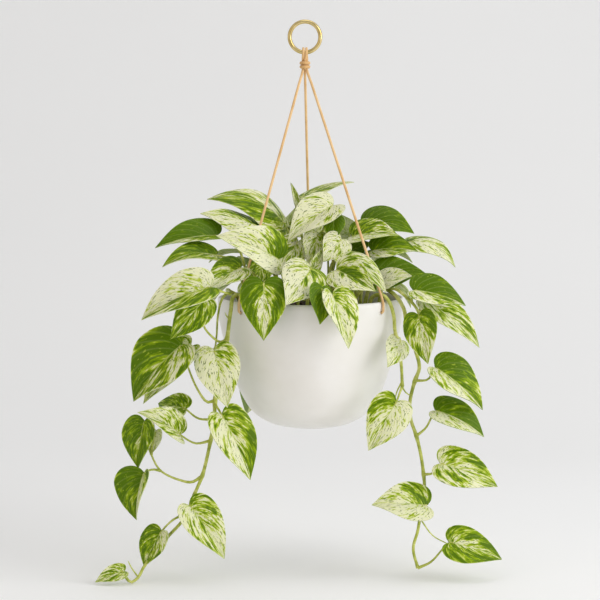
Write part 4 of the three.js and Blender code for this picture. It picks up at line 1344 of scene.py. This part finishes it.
@dataclass(frozen=True)
class Plant:
    """The pothos: every leafy stem as one grown piece."""

    finisher: Finisher

    soil_crown: float = -0.007
    soil_edge: float = -0.017
    soil_radius: float = 0.097
    socket_depth: float = 0.010
    stem_neck: float = 0.0015
    stem_radius: float = 0.0023
    stem_tip_radius: float = 0.0016
    stalk_radius: float = 0.00135
    stalk_tip_radius: float = 0.0009
    stalk_sink: float = 0.006
    stalk_lift: float = 0.16
    stalk_setback: float = 0.1
    tendril_radius: float = 0.0009
    node_swelling: float = 0.35
    node_reach: float = 0.004
    blade_thickness: float = 0.0007
    blade_curl: float = 0.25
    rib_power: float = 2.6
    lobe_share: float = 0.45
    lobe: Curve = ((0.0, 0.0), (0.22, -0.19), (1.0, -0.17), (1.0, 0.24))
    flank: Curve = ((1.0, 0.24), (1.0, 0.5), (0.36, 0.79), (0.0, 1.0))
    vein_ridge: float = 0.00028
    vein_count: int = 8
    vein_sweep: float = 0.28
    edge_ripple: float = 0.022
    ripple_waves: float = 1.6
    ripple_shift: float = 0.37
    swell_reach: float = 1.15
    sheath_gain: float = 0.35
    sheath_reach: float = 0.3
    knee_gain: float = 0.2
    knee_place: float = 0.9
    knee_width: float = 0.05
    blunt_share: float = 0.35
    tendril_taper: float = 0.35
    stem_sides: int = 14
    branch_sides: int = 12
    stalk_sides: int = 10
    tendril_sides: int = 8
    blade_rows: int = 32
    blade_columns: int = 20
    station_spacing: float = 0.004

    def soil_height(self, x: float, y: float) -> float:
        """Returns the height of the soil at a place."""
        share = (math.hypot(x, y) / self.soil_radius) ** 2
        return self.soil_crown + (self.soil_edge - self.soil_crown) * share

    def outline(self, t: float) -> tuple[float, float]:
        """Follows the heart outline, by a curve round the lobe and one along the flank.

        Args:
            t: From stalk, 0, to tip, 1.

        Returns:
            The place across, in half widths, and from the stalk, in lengths.
        """
        if t < self.lobe_share:
            corners, u = self.lobe, t / self.lobe_share
        else:
            corners, u = self.flank, (t - self.lobe_share) / (1 - self.lobe_share)
        weights = ((1 - u) ** 3, 3 * u * (1 - u) ** 2, 3 * u**2 * (1 - u), u**3)
        x, y = (sum(w * c[k] for w, c in zip(weights, corners)) for k in (0, 1))
        return x, y

    def blade_frame(self, leaf: Leaf) -> tuple[Vector, Vector, Vector, Vector, float]:
        """Works out how a blade lies.

        Args:
            leaf: The leaf.

        Returns:
            Its base, its directions along, across and out, and its length.
        """
        base = Vector(leaf.base)
        along = Vector(leaf.tip) - base
        length = along.length
        along.normalize()
        facing = Vector((0.0, -1.0, 0.0))
        facing = (facing - along * facing.dot(along)).normalized()
        sideways = along.cross(facing)
        roll = math.radians(leaf.roll)
        out = facing * math.cos(roll) + sideways * math.sin(roll)
        return base, along, along.cross(out), out, length

    def blade_point(self, leaf: Leaf, t: float, v: float, phase: float = 0.0) -> Vector:
        """Finds a place on the folded, bowed and curled blade.

        Args:
            leaf: The leaf.
            t: From stalk, 0, to tip, 1.
            v: Across, from -1 to 1.
            phase: The phase of the edge's ripple.

        Returns:
            The place.
        """
        base, along, side, out, length = self.blade_frame(leaf)
        half = abs(v)
        edge_x, edge_y = self.outline(t)
        rib = t**self.rib_power
        reach = rib + (edge_y - rib) * half
        half_width = leaf.width / 2
        spread = edge_x * half_width * half
        fold = math.radians(leaf.fold)
        bow = leaf.arc * length * 4 * reach * (1 - reach)
        rise = spread * math.sin(fold) - self.blade_curl * spread**2 / half_width
        swell = math.sin(math.pi * min(1.0, self.swell_reach * half))
        swell *= math.sin(math.pi * t) ** 0.5
        swept = t - self.vein_sweep * half
        rise += self.vein_ridge * math.cos(math.pi * 2 * self.vein_count * swept) * swell
        waves = self.ripple_waves * t + phase + self.ripple_shift * (v > 0)
        ripple = math.sin(2 * math.pi * waves) * edge_x
        rise += self.edge_ripple * leaf.width * ripple * half**3
        across = math.copysign(spread * math.cos(fold), v)
        return base + along * reach * length + side * across + out * (rise + bow)

    def add_blade(self, bm: bmesh.types.BMesh, leaf: Leaf, draw: random.Random) -> None:
        """Bends a grid into a blade and gives it its underside and its marbling.

        Args:
            bm: The mesh that takes the blade.
            leaf: The leaf.
            draw: The source of the leaf's seed.
        """
        uv = bm.loops.layers.uv["UVMap"]
        layers = bm.verts.layers
        marbling, seed = layers.float_color["marbling"], layers.float["leaf_seed"]
        core = layers.float["leaf_core"]
        phase, own_seed = draw.random(), draw.uniform(0.0, 90.0)
        grid = bmesh.ops.create_grid(
            bm, x_segments=self.blade_columns, y_segments=self.blade_rows, size=1.0
        )
        verts = grid["verts"]
        faces = list({f for v in verts for f in v.link_faces})
        for face in faces:
            face.smooth = True
            for loop in face.loops:
                loop[uv].uv = ((loop.vert.co.x + 1) / 2, (loop.vert.co.y + 1) / 2)
        out = self.blade_frame(leaf)[3]
        for vert in verts:
            t = (vert.co.y + 1) / 2
            vert.co = self.blade_point(leaf, t, vert.co.x, phase) + out * self.blade_thickness / 2
        bmesh.ops.remove_doubles(bm, verts=verts, dist=WELD)
        faces = [f for f in faces if f.is_valid]
        shell = self.add_underside(bm, faces)
        own = leaf.marbling
        shares = (own.side_base, own.side_tip, own.far_base, own.far_tip)
        for vert in {v for f in shell for v in f.verts}:
            vert[marbling] = shares
            vert[seed] = own_seed
            vert[core] = own.core

    def add_underside(
        self, bm: bmesh.types.BMesh, faces: list[bmesh.types.BMFace]
    ) -> list[bmesh.types.BMFace]:
        """Gives a bent blade its thickness: a copy below the face and a wall round the edge.

        Args:
            bm: The mesh that holds the blade.
            faces: The upper face of the blade.

        Returns:
            Every face of the closed blade.
        """
        rim = [e for e in {e for f in faces for e in f.edges} if e.is_boundary]
        walks = [next(iter(e.link_loops)) for e in rim]
        pairs = [(walk.vert, walk.link_loop_next.vert) for walk in walks]
        copied = bmesh.ops.duplicate(bm, geom=faces)
        below = copied["vert_map"]
        under = [f for f in copied["geom"] if isinstance(f, bmesh.types.BMFace)]
        for vert in {v for f in faces for v in f.verts}:
            vert.normal_update()
            below[vert].co = vert.co - vert.normal * self.blade_thickness
        bmesh.ops.reverse_faces(bm, faces=under)
        wall = [bm.faces.new((b, a, below[a], below[b])) for a, b in pairs]
        for face in [*under, *wall]:
            face.smooth = True
            face.material_index = UNDER_INDEX
        return [*faces, *under, *wall]

    def stalk_line(self, leaf: Leaf, node: Place) -> list[Vector]:
        """Lays a leaf's stalk from its node into the midrib.

        Args:
            leaf: The leaf.
            node: The stem's last node, where the leaf states no other.

        Returns:
            The stalk's stations.
        """
        base, along, _, _, length = self.blade_frame(leaf)
        start = Vector(leaf.start or node)
        reach = (start - base).length
        middle = (start + base) / 2 + UP * (self.stalk_lift * reach)
        middle -= along * self.stalk_setback * reach
        end = self.blade_point(leaf, (self.stalk_sink / length) ** (1 / self.rib_power), 0.0)
        via = leaf.via or (tuple(middle),)
        return smooth_line([start, *via, base, end], self.station_spacing)

    def stem_radius_at(
        self, stations: Sequence[Vector], nodes: Sequence[Vector]
    ) -> Callable[[float], float]:
        """Makes the rule for a vine's radius, swollen at the nodes where stalks leave.

        Args:
            stations: The vine's centre line.
            nodes: Its nodes.

        Returns:
            The radius as a function of the share of the way.
        """
        steps = len(stations) - 1

        def radius(share: float) -> float:
            """Works out the radius, which falls evenly and rises near each node.

            Args:
                share: The share of the way, from 0 to 1.

            Returns:
                The radius.
            """
            place = stations[round(share * steps)]
            near = min(((place - n).length for n in nodes), default=1.0)
            swelling = self.node_swelling * math.exp(-((near / self.node_reach) ** 2))
            plain = self.stem_radius + (self.stem_tip_radius - self.stem_radius) * share
            return plain * (1 + swelling)

        return radius

    def stalk_radius_at(self, share: float) -> float:
        """Works out a stalk's radius: sheathed at its foot, slim, swollen under the blade.

        Args:
            share: The share of the way, from 0 to 1.

        Returns:
            The radius.
        """
        plain = self.stalk_radius + (self.stalk_tip_radius - self.stalk_radius) * share
        sheath = self.sheath_gain * max(0.0, 1 - share / self.sheath_reach)
        knee = self.knee_gain * math.exp(-(((share - self.knee_place) / self.knee_width) ** 2))
        end = self.blunt_share if share > 0.985 else 1.0
        return plain * (1 + sheath + knee) * end

    def build_stem(self, plan: Stem, draw: random.Random) -> bpy.types.Object:
        """Builds one leafy stem.

        Args:
            plan: The stem's routes and leaves.
            draw: The source of the leaves' seeds.

        Returns:
            The piece.
        """
        bm = bmesh.new()
        bm.loops.layers.uv.new("UVMap")
        bm.verts.layers.float_color.new("marbling")
        bm.verts.layers.float.new("leaf_seed")
        bm.verts.layers.float.new("leaf_core")
        x, y = plan.root
        surface = self.soil_height(x, y)
        foot = Vector((x, y, surface - self.socket_depth))
        route = [(x, y, surface + self.stem_neck), *plan.route]
        node = plan.route[-1]
        leaves = [replace(leaf, fold=round(leaf.fold * plan.fold_share)) for leaf in plan.leaves]
        stalks = leaves if plan.is_vine else leaves[1:]
        if plan.is_vine:
            line = [foot, *smooth_line(route, self.station_spacing)]
            nodes = [Vector(leaf.start) for leaf in leaves if leaf.start]
            sweep(bm, line, self.stem_radius_at(line, nodes), self.stem_sides, STEM_INDEX)
        else:
            onward = self.stalk_line(leaves[0], node)[1:]
            line = [foot, *smooth_line(route, self.station_spacing, 2), *onward]
            sweep(bm, line, self.crown_radius_at, self.stem_sides, STEM_INDEX)
        for places in plan.branches:
            stations = smooth_line(places, self.station_spacing)
            sweep(bm, stations, lambda _: self.stem_tip_radius, self.branch_sides, STEM_INDEX)
        for places in plan.tendrils:
            stations = smooth_line(places, self.station_spacing)
            sweep(bm, stations, self.tendril_radius_at, self.tendril_sides, STEM_INDEX)
        for leaf in stalks:
            line = self.stalk_line(leaf, node)
            sweep(bm, line, self.stalk_radius_at, self.stalk_sides, STEM_INDEX)
        for leaf in leaves:
            self.add_blade(bm, leaf, draw)
        bmesh.ops.translate(bm, verts=bm.verts[:], vec=BOWL_CENTRE)
        return self.finisher.dress(bm, f"pothos_{plan.name}", Finish.LEAF, plan.name)

    def crown_radius_at(self, share: float) -> float:
        """Returns the radius of a crown stem that runs on into its first leaf's stalk."""
        plain = self.stem_radius + (self.stalk_tip_radius - self.stem_radius) * share**0.8
        return plain * (self.blunt_share if share > 0.99 else 1.0)

    def tendril_radius_at(self, share: float) -> float:
        """Returns the radius of an air root, which ends in a blunt tip."""
        end = 0.5 if share > 0.98 else 1.0
        return self.tendril_radius * (1 - self.tendril_taper * share) * end

    def build(self) -> None:
        """Builds every leafy stem."""
        draw = random.Random(11)
        plans = [*VINES, *CROWN]
        plans += [back_stem(i + 1, stem, draw) for i, stem in enumerate(BACK_STEMS)]
        plans += [back_vine(i + 1, a, side, draw) for i, (a, side) in enumerate(BACK_VINES)]
        for plan in plans:
            self.build_stem(plan, draw)


# Bowl and soil


@dataclass(frozen=True)
class Bowl:
    """The ceramic bowl: a round bottom with a small foot, a rounded lip and three holes."""

    finisher: Finisher

    depth: float = 0.143
    wall: float = 0.0045
    foot_radius: float = 0.026
    lip_outer: float = 0.1021
    lip_inner: float = 0.0979
    hole_radius: float = 0.002
    hole_depth: float = 0.011
    hole_azimuths: tuple[float, ...] = (-48.0, 48.0, 180.0)
    drill_length: float = 0.016
    drill_sides: int = 24
    station_spacing: float = 0.004
    lip_steps: int = 8
    profile: Curve = (
        (0.026, -0.143), (0.046, -0.138), (0.064, -0.1265), (0.075, -0.110),
        (0.0815, -0.096), (0.0925, -0.060), (0.1008, -0.024), (0.1023, -0.0025),
    )
    steps: int = 144

    def side(self, inset: float) -> list[tuple[float, float]]:
        """Smooths the side's profile and moves it inwards.

        Args:
            inset: How far it moves.

        Returns:
            Radius and height of each point.
        """
        line = smooth_line([(r, 0.0, z) for r, z in self.profile], self.station_spacing)
        places = []
        for i, place in enumerate(line):
            ahead, behind = line[min(i + 1, len(line) - 1)], line[max(i - 1, 0)]
            along = (ahead - behind).normalized()
            places.append((place.x - along.z * inset, place.z + along.x * inset))
        return places

    def build(self) -> None:
        """Builds the bowl."""
        floor = self.wall - self.depth
        middle = (self.lip_outer + self.lip_inner) / 2
        round_radius = (self.lip_outer - self.lip_inner) / 2
        lip = []
        for step in range(self.lip_steps + 1):
            angle = math.pi * step / self.lip_steps
            height = (math.sin(angle) - 1) * round_radius
            lip.append((middle + round_radius * math.cos(angle), height))
        inside = [(r, z) for r, z in self.side(self.wall) if floor < z < -2 * self.wall]
        outside = self.side(0.0)
        foot = [(0.0, -self.depth), (self.foot_radius * 0.6, -self.depth)]
        bottom = [(self.foot_radius, floor), (0.0, floor)]
        bm = bmesh.new()
        spin_profile(bm, [*foot, *outside, *lip, *inside[::-1], *bottom], BOWL_CENTRE, self.steps)
        piece = self.finisher.dress(bm, "bowl", Finish.CERAMIC, "planter_bowl")
        self.drill(piece)

    def drill(self, piece: bpy.types.Object) -> None:
        """Cuts the three cord holes through the wall.

        Args:
            piece: The bowl.
        """
        bm = bmesh.new()
        for azimuth in self.hole_azimuths:
            place = Vector(around(azimuth, self.lip_outer - self.wall / 2, -self.hole_depth))
            level = Matrix.Rotation(math.pi / 2, 4, "X")
            turn = Matrix.Rotation(math.radians(azimuth), 4, "Z") @ level
            bmesh.ops.create_cone(
                bm,
                cap_ends=True,
                segments=self.drill_sides,
                radius1=self.hole_radius,
                radius2=self.hole_radius,
                depth=self.drill_length,
                matrix=Matrix.Translation(BOWL_CENTRE + place) @ turn,
            )
        tool = add_mesh("drill", bm)
        cut = piece.modifiers.new("cord_holes", "BOOLEAN")
        cut.operation = "DIFFERENCE"
        cut.solver = "EXACT"
        cut.object = tool
        bpy.context.view_layer.update()
        ready = piece.evaluated_get(bpy.context.evaluated_depsgraph_get())
        drilled = bpy.data.meshes.new_from_object(ready)
        piece.modifiers.clear()
        piece.data = drilled
        bpy.data.objects.remove(tool)


@dataclass(frozen=True)
class Soil:
    """The potting mix: a low mound of peat with bark chips on it."""

    finisher: Finisher
    bowl: Bowl
    plant: Plant

    gap: float = 0.0003
    roughness: float = 0.0012
    crumb: float = 0.007
    edge_margin: float = 0.0005
    chip_count: int = 420
    chip_size: float = 0.0028
    chip_reach: float = 0.093
    rings: int = 30
    steps: int = 120

    def build(self) -> None:
        """Builds the mound, its crumbs and its chips."""
        inset = self.bowl.wall + self.gap
        edge = self.plant.soil_edge
        floor = inset - self.bowl.depth
        wall = [(r, z) for r, z in self.bowl.side(inset) if floor < z < edge]
        top = []
        for ring in range(self.rings, -1, -1):
            radius = self.plant.soil_radius * ring / self.rings
            top.append((min(radius, wall[-1][0]), self.plant.soil_height(radius, 0.0)))
        profile = [(0.0, floor), (self.bowl.foot_radius, floor), *wall, *top[1:]]
        bm = bmesh.new()
        spin_profile(bm, profile, BOWL_CENTRE, self.steps)
        for vert in bm.verts:
            local = vert.co - BOWL_CENTRE
            radius = math.hypot(local.x, local.y)
            if local.z > edge - self.edge_margin and radius < self.chip_reach:
                vert.co.z += self.roughness * noise.noise(local / self.crumb)
        self.scatter(bm)
        self.finisher.dress(bm, "soil_mound", Finish.PEAT, "potting_soil")

    def scatter(self, bm: bmesh.types.BMesh) -> None:
        """Lays bark chips on the mound, each a squashed and turned lump.

        Args:
            bm: The mesh that takes them.
        """
        draw = random.Random(5)
        for _ in range(self.chip_count):
            azimuth = draw.uniform(0, 360)
            radius = self.chip_reach * math.sqrt(draw.random())
            x, y, _ = around(azimuth, radius, 0.0)
            size = self.chip_size * draw.uniform(0.4, 1.0)
            place = Vector((x, y, self.plant.soil_height(x, y) + size * 0.15))
            turn = Quaternion([draw.gauss(0, 1) for _ in range(4)]).normalized()
            squash = Matrix.Diagonal((1.0, draw.uniform(0.5, 0.9), draw.uniform(0.3, 0.6), 1.0))
            matrix = Matrix.Translation(BOWL_CENTRE + place) @ turn.to_matrix().to_4x4() @ squash
            bmesh.ops.create_icosphere(bm, subdivisions=1, radius=size, matrix=matrix)


# Ring, cords and binding


@dataclass(frozen=True)
class Ring:
    """The brass ring: round wire bent to a circle."""

    finisher: Finisher

    outer_radius: float = 0.019
    wire_radius: float = 0.0023
    segments: int = 28
    steps: int = 120

    def line_radius(self) -> float:
        """Returns the radius of the wire's centre line."""
        return self.outer_radius - self.wire_radius

    def build(self) -> None:
        """Builds the ring."""
        centre = Vector((0.0, 0.0, -self.outer_radius))
        bm = bmesh.new()
        turn = Matrix.Translation(centre + Vector((self.line_radius(), 0.0, 0.0)))
        bmesh.ops.create_circle(bm, segments=self.segments, radius=self.wire_radius, matrix=turn)
        bmesh.ops.spin(
            bm,
            geom=bm.verts[:] + bm.edges[:],
            cent=centre,
            axis=(0, 1, 0),
            angle=2 * math.pi,
            steps=self.steps,
            use_merge=True,
        )
        bmesh.ops.remove_doubles(bm, verts=bm.verts[:], dist=WELD)
        bmesh.ops.recalc_face_normals(bm, faces=bm.faces[:])
        for face in bm.faces:
            face.smooth = True
        self.finisher.dress(bm, "ring_brass", Finish.BRASS, "hanging_ring", RING_BODY)


@dataclass(frozen=True)
class Cords:
    """The two leather laces, with their knots behind the wall, and the binding that holds them."""

    finisher: Finisher
    ring: Ring

    radius: float = 0.0014
    sides: int = 16
    loop_radius: float = 0.0044
    loop_shift: float = 0.0017
    crossing_drop: float = 0.0055
    bend_radius: float = 0.0022
    bend_distance: float = 0.1019
    rim_distance: float = 0.1039
    crossing_shift: float = 0.0026
    crossing_reach: float = 0.0034
    crossing_middle: float = 0.001
    station_spacing: float = 0.0016
    knot_radius: float = 0.004
    knot_core: float = 0.62
    knot_tightness: float = 0.9
    knot_sides: int = 12
    core_rows: int = 10
    knot_turns: float = 1.6
    knot_steps: int = 24
    knot_length: float = 0.0028
    knot_back: float = 0.0012
    knot_distance: float = 0.093
    hole_depth: float = 0.011
    front_azimuth: float = 48.0
    binding_top: float = -0.0452
    binding_bottom: float = -0.0535
    binding_inner: float = 0.0039
    binding_outer: float = 0.006
    slot: float = 0.0022
    overhang: float = 0.0008
    wind_start: int = 200
    wind_end: int = 880
    wind_step: int = 8
    wind_cross: float = 500.0
    wind_cross_turn: float = 80.0
    wind_share: float = 0.97

    def through_hole(self, azimuth: float) -> list[Vector]:
        """Lays a lace from the knot behind a hole out and up over the rim.

        Args:
            azimuth: The hole's place round the bowl.

        Returns:
            The places that the lace passes.
        """
        bend = [
            (
                self.bend_distance + self.bend_radius * math.cos(math.radians(angle)),
                self.bend_radius * (1 + math.sin(math.radians(angle))) - self.hole_depth,
            )
            for angle in (-90, -60, -30, 0)
        ]
        inner = [
            (self.knot_distance, -self.hole_depth),
            (self.knot_distance + self.knot_radius, -self.hole_depth),
        ]
        outer = [(self.bend_distance + self.bend_radius, -0.005), (self.rim_distance, -0.001)]
        return [
            Vector(around(azimuth, radius, height)) + BOWL_CENTRE
            for radius, height in inner + bend + outer
        ]

    def to_binding(self, start: Vector, slot: tuple[float, float]) -> list[Vector]:
        """Lays the long straight from the rim to the binding and up through it.

        Args:
            start: Its end at the rim.
            slot: Its place in the binding, X and Y.

        Returns:
            The places that the lace passes.
        """
        below = Vector((*slot, self.binding_bottom - self.overhang))
        straight = [start.lerp(below, share) for share in (0.25, 0.5, 0.75, 0.93)]
        return [*straight, below, Vector((*slot, self.binding_top + self.overhang))]

    def over_ring(self, x: float, sign: int) -> list[Vector]:
        """Lays the turn over the bottom of the ring.

        Args:
            x: Its place along the ring's axis of swing.
            sign: 1 when it comes from the front, -1 when it comes from the back.

        Returns:
            The places that the lace passes.
        """
        bottom = -self.ring.outer_radius - self.ring.line_radius()
        return [
            Vector(
                (
                    x,
                    sign * self.loop_radius * math.cos(math.radians(angle)),
                    bottom + self.loop_radius * math.sin(math.radians(angle)),
                )
            )
            for angle in (180, 144, 108, 72, 36, 0)
        ]

    def lay(self, name: str, node: str, places: list[Vector], azimuths: tuple[float, ...]) -> None:
        """Builds one lace along its way, with a knot at each of its holes.

        Args:
            name: The piece's name.
            node: The node that it replaces.
            places: The way of the lace.
            azimuths: Its holes.
        """
        bm = bmesh.new()
        line = smooth_line(places, self.station_spacing)
        sweep(bm, line, lambda _: self.radius, self.sides)
        for azimuth in azimuths:
            self.knot(bm, azimuth)
        self.finisher.dress(bm, name, Finish.LEATHER, node)

    def knot(self, bm: bmesh.types.BMesh, azimuth: float) -> None:
        """Adds the stopper knot behind a hole: the lace wound round itself.

        Args:
            bm: The mesh that takes it.
            azimuth: The hole's place round the bowl.
        """
        centre = Vector(around(azimuth, self.knot_distance, -self.hole_depth)) + BOWL_CENTRE
        inward = Vector(around(azimuth, -1.0, 0.0))
        across = inward.cross(UP)
        coil = []
        for step in range(self.knot_steps + 1):
            angle = 2 * math.pi * self.knot_turns * step / self.knot_steps
            reach = self.knot_radius - self.radius
            offset = across * math.cos(angle) + UP * math.sin(angle)
            depth = self.knot_length * step / self.knot_steps - self.knot_back
            coil.append(centre + offset * reach * self.knot_tightness + inward * depth)
        sweep(bm, coil, lambda _: self.radius, self.knot_sides)
        bmesh.ops.create_uvsphere(
            bm,
            u_segments=self.sides,
            v_segments=self.core_rows,
            radius=self.knot_radius * self.knot_core,
            matrix=Matrix.Translation(centre),
        )

    def build(self) -> None:
        """Builds both laces and the binding."""
        bottom = -self.ring.outer_radius - self.ring.line_radius()
        crossing = bottom - self.crossing_drop
        slot = self.slot
        left, right = self.through_hole(-self.front_azimuth), self.through_hole(self.front_azimuth)
        back = self.through_hole(180)
        left_back = [*left, *self.to_binding(left[-1], (-slot, 0.0))]
        left_back += [Vector((-slot, -self.crossing_shift, crossing))]
        left_back += self.over_ring(-self.loop_shift, 1)
        left_back += [Vector((-self.crossing_middle, self.crossing_reach, crossing))]
        left_back += [*self.to_binding(back[-1], (0.0, slot))[::-1], *back[::-1]]
        self.lay("lace_left_back", "cord_left_back", left_back, (-self.front_azimuth, 180))
        right_line = [*right, *self.to_binding(right[-1], (slot, 0.0))]
        right_line += [Vector((slot, self.crossing_shift, crossing))]
        right_line += self.over_ring(self.loop_shift, -1)
        right_line += [Vector((self.crossing_middle, -self.crossing_reach, crossing))]
        right_line += [
            Vector((0.0, -slot, self.binding_top + self.overhang)),
            Vector((0.0, -slot, self.binding_bottom - self.overhang)),
        ]
        self.lay("lace_right", "cord_right", right_line, (self.front_azimuth,))
        self.bind()

    def bind(self) -> None:
        """Winds the binding: two level turns of lace that change over at the back."""
        bm = bmesh.new()
        thickness = (self.binding_top - self.binding_bottom) / 4
        wind = self.binding_outer - thickness
        stations = []
        for turn in range(self.wind_start, self.wind_end + 1, self.wind_step):
            angle = math.radians(turn)
            share = min(max((turn - self.wind_cross) / self.wind_cross_turn, 0.0), 1.0)
            height = self.binding_bottom + thickness * (1 + 2 * share)
            stations.append(Vector((wind * math.sin(angle), -wind * math.cos(angle), height)))
        sweep(bm, stations, lambda _: thickness * self.wind_share, self.sides)
        collar = [
            (self.binding_inner, self.binding_bottom + thickness * 0.5),
            (wind, self.binding_bottom + thickness * 0.5),
            (wind, self.binding_top - thickness * 0.5),
            (self.binding_inner, self.binding_top - thickness * 0.5),
            (self.binding_inner, self.binding_bottom + thickness * 0.5),
        ]
        spin_profile(bm, collar, Vector((0.0, 0.0, 0.0)), 48)
        self.finisher.dress(bm, "binding_lace", Finish.LEATHER, "cord_binding")


# Studio


@dataclass(frozen=True)
class Studio:
    """The pale floor with its curved back, the soft lights and the camera."""

    floor_height: float = -0.606
    width: float = 9.0
    front: float = -4.0
    back: float = 2.6
    bend: float = 1.8
    wall_top: float = 4.5
    bend_steps: int = 24
    surround: float = 0.55
    target: Place = (0.0, 0.0, -0.33)
    sensor: float = 36.0
    clip: float = 30.0

    def build_backdrop(self) -> None:
        """Builds the floor and the wall behind as one sheet with a round bend."""
        bm = bmesh.new()
        edge = self.back - self.bend
        line = [bm.verts.new((-self.width / 2, self.front, self.floor_height))]
        for step in range(self.bend_steps + 1):
            angle = math.pi / 2 * step / self.bend_steps
            y = edge + self.bend * math.sin(angle)
            z = self.floor_height + self.bend * (1 - math.cos(angle))
            line.append(bm.verts.new((-self.width / 2, y, z)))
        line.append(bm.verts.new((-self.width / 2, self.back, self.wall_top)))
        edges = [bm.edges.new(pair) for pair in zip(line, line[1:])]
        swept = bmesh.ops.extrude_edge_only(bm, edges=edges)["geom"]
        new = [v for v in swept if isinstance(v, bmesh.types.BMVert)]
        bmesh.ops.translate(bm, verts=new, vec=(self.width, 0.0, 0.0))
        for face in bm.faces:
            face.smooth = True
        add_mesh("backdrop", bm, [SeamlessPaper().build()])

    def add_light(
        self, name: str, place: Place, size: float, power: float, colour: str = "FFFFFF"
    ) -> None:
        """Adds one square area light that looks at the target.

        Args:
            name: Its name.
            place: Where it stands.
            size: Its side.
            power: Its power in watts.
            colour: Its colour.
        """
        light = bpy.data.lights.new(name, "AREA")
        light.shape = "SQUARE"
        light.size = size
        light.energy = power
        light.color = linear(colour)[:3]
        lamp = add_object(name, light)
        lamp.location = place
        aim = Vector(self.target) - Vector(place)
        lamp.rotation_euler = aim.to_track_quat("-Z", "Y").to_euler()

    def build_lights(self) -> None:
        """Sets an even white surround and three soft boxes, the key from the front right."""
        world = bpy.data.worlds.new("studio")
        world.use_nodes = True
        surround = world.node_tree.nodes["Background"]
        feed(world.node_tree, surround, {"Color": linear("FFFFFF"), "Strength": self.surround})
        bpy.context.scene.world = world
        self.add_light("key", (2.1, -1.25, 0.6), 2.0, 37.0)
        self.add_light("fill", (-1.6, -1.9, 0.5), 1.6, 5.0, "FFE2BC")
        self.add_light("top", (0.3, -0.2, 1.9), 1.6, 9.0)
        bpy.context.scene.view_settings.view_transform = "Standard"

    def build_camera(self) -> None:
        """Places the camera as the photograph's, a little above the bowl and far away."""
        camera = bpy.data.cameras.new("camera")
        camera.lens = round(self.sensor * FOCAL_PX / PHOTO_PX, 2)
        camera.sensor_width = self.sensor
        camera.clip_end = self.clip
        holder = add_object("camera", camera)
        holder.location = (CAMERA_X, -CAMERA_DISTANCE, CAMERA_HEIGHT)
        holder.rotation_euler = (math.radians(90 - CAMERA_PITCH), 0.0, 0.0)
        bpy.context.scene.camera = holder

    def build(self) -> None:
        """Builds the studio."""
        self.build_backdrop()
        self.build_lights()
        self.build_camera()


def main() -> None:
    """Builds every piece of the planter and the studio round it."""
    Studio().build()
    materials = {finish: [look.build() for look in finish.value[1]] for finish in Finish}
    finisher = Finisher(materials)
    ring = Ring(finisher)
    ring.build()
    Cords(finisher, ring).build()
    bowl = Bowl(finisher)
    bowl.build()
    plant = Plant(finisher)
    Soil(finisher, bowl, plant).build()
    plant.build()


if __name__ == "__main__":
    main()
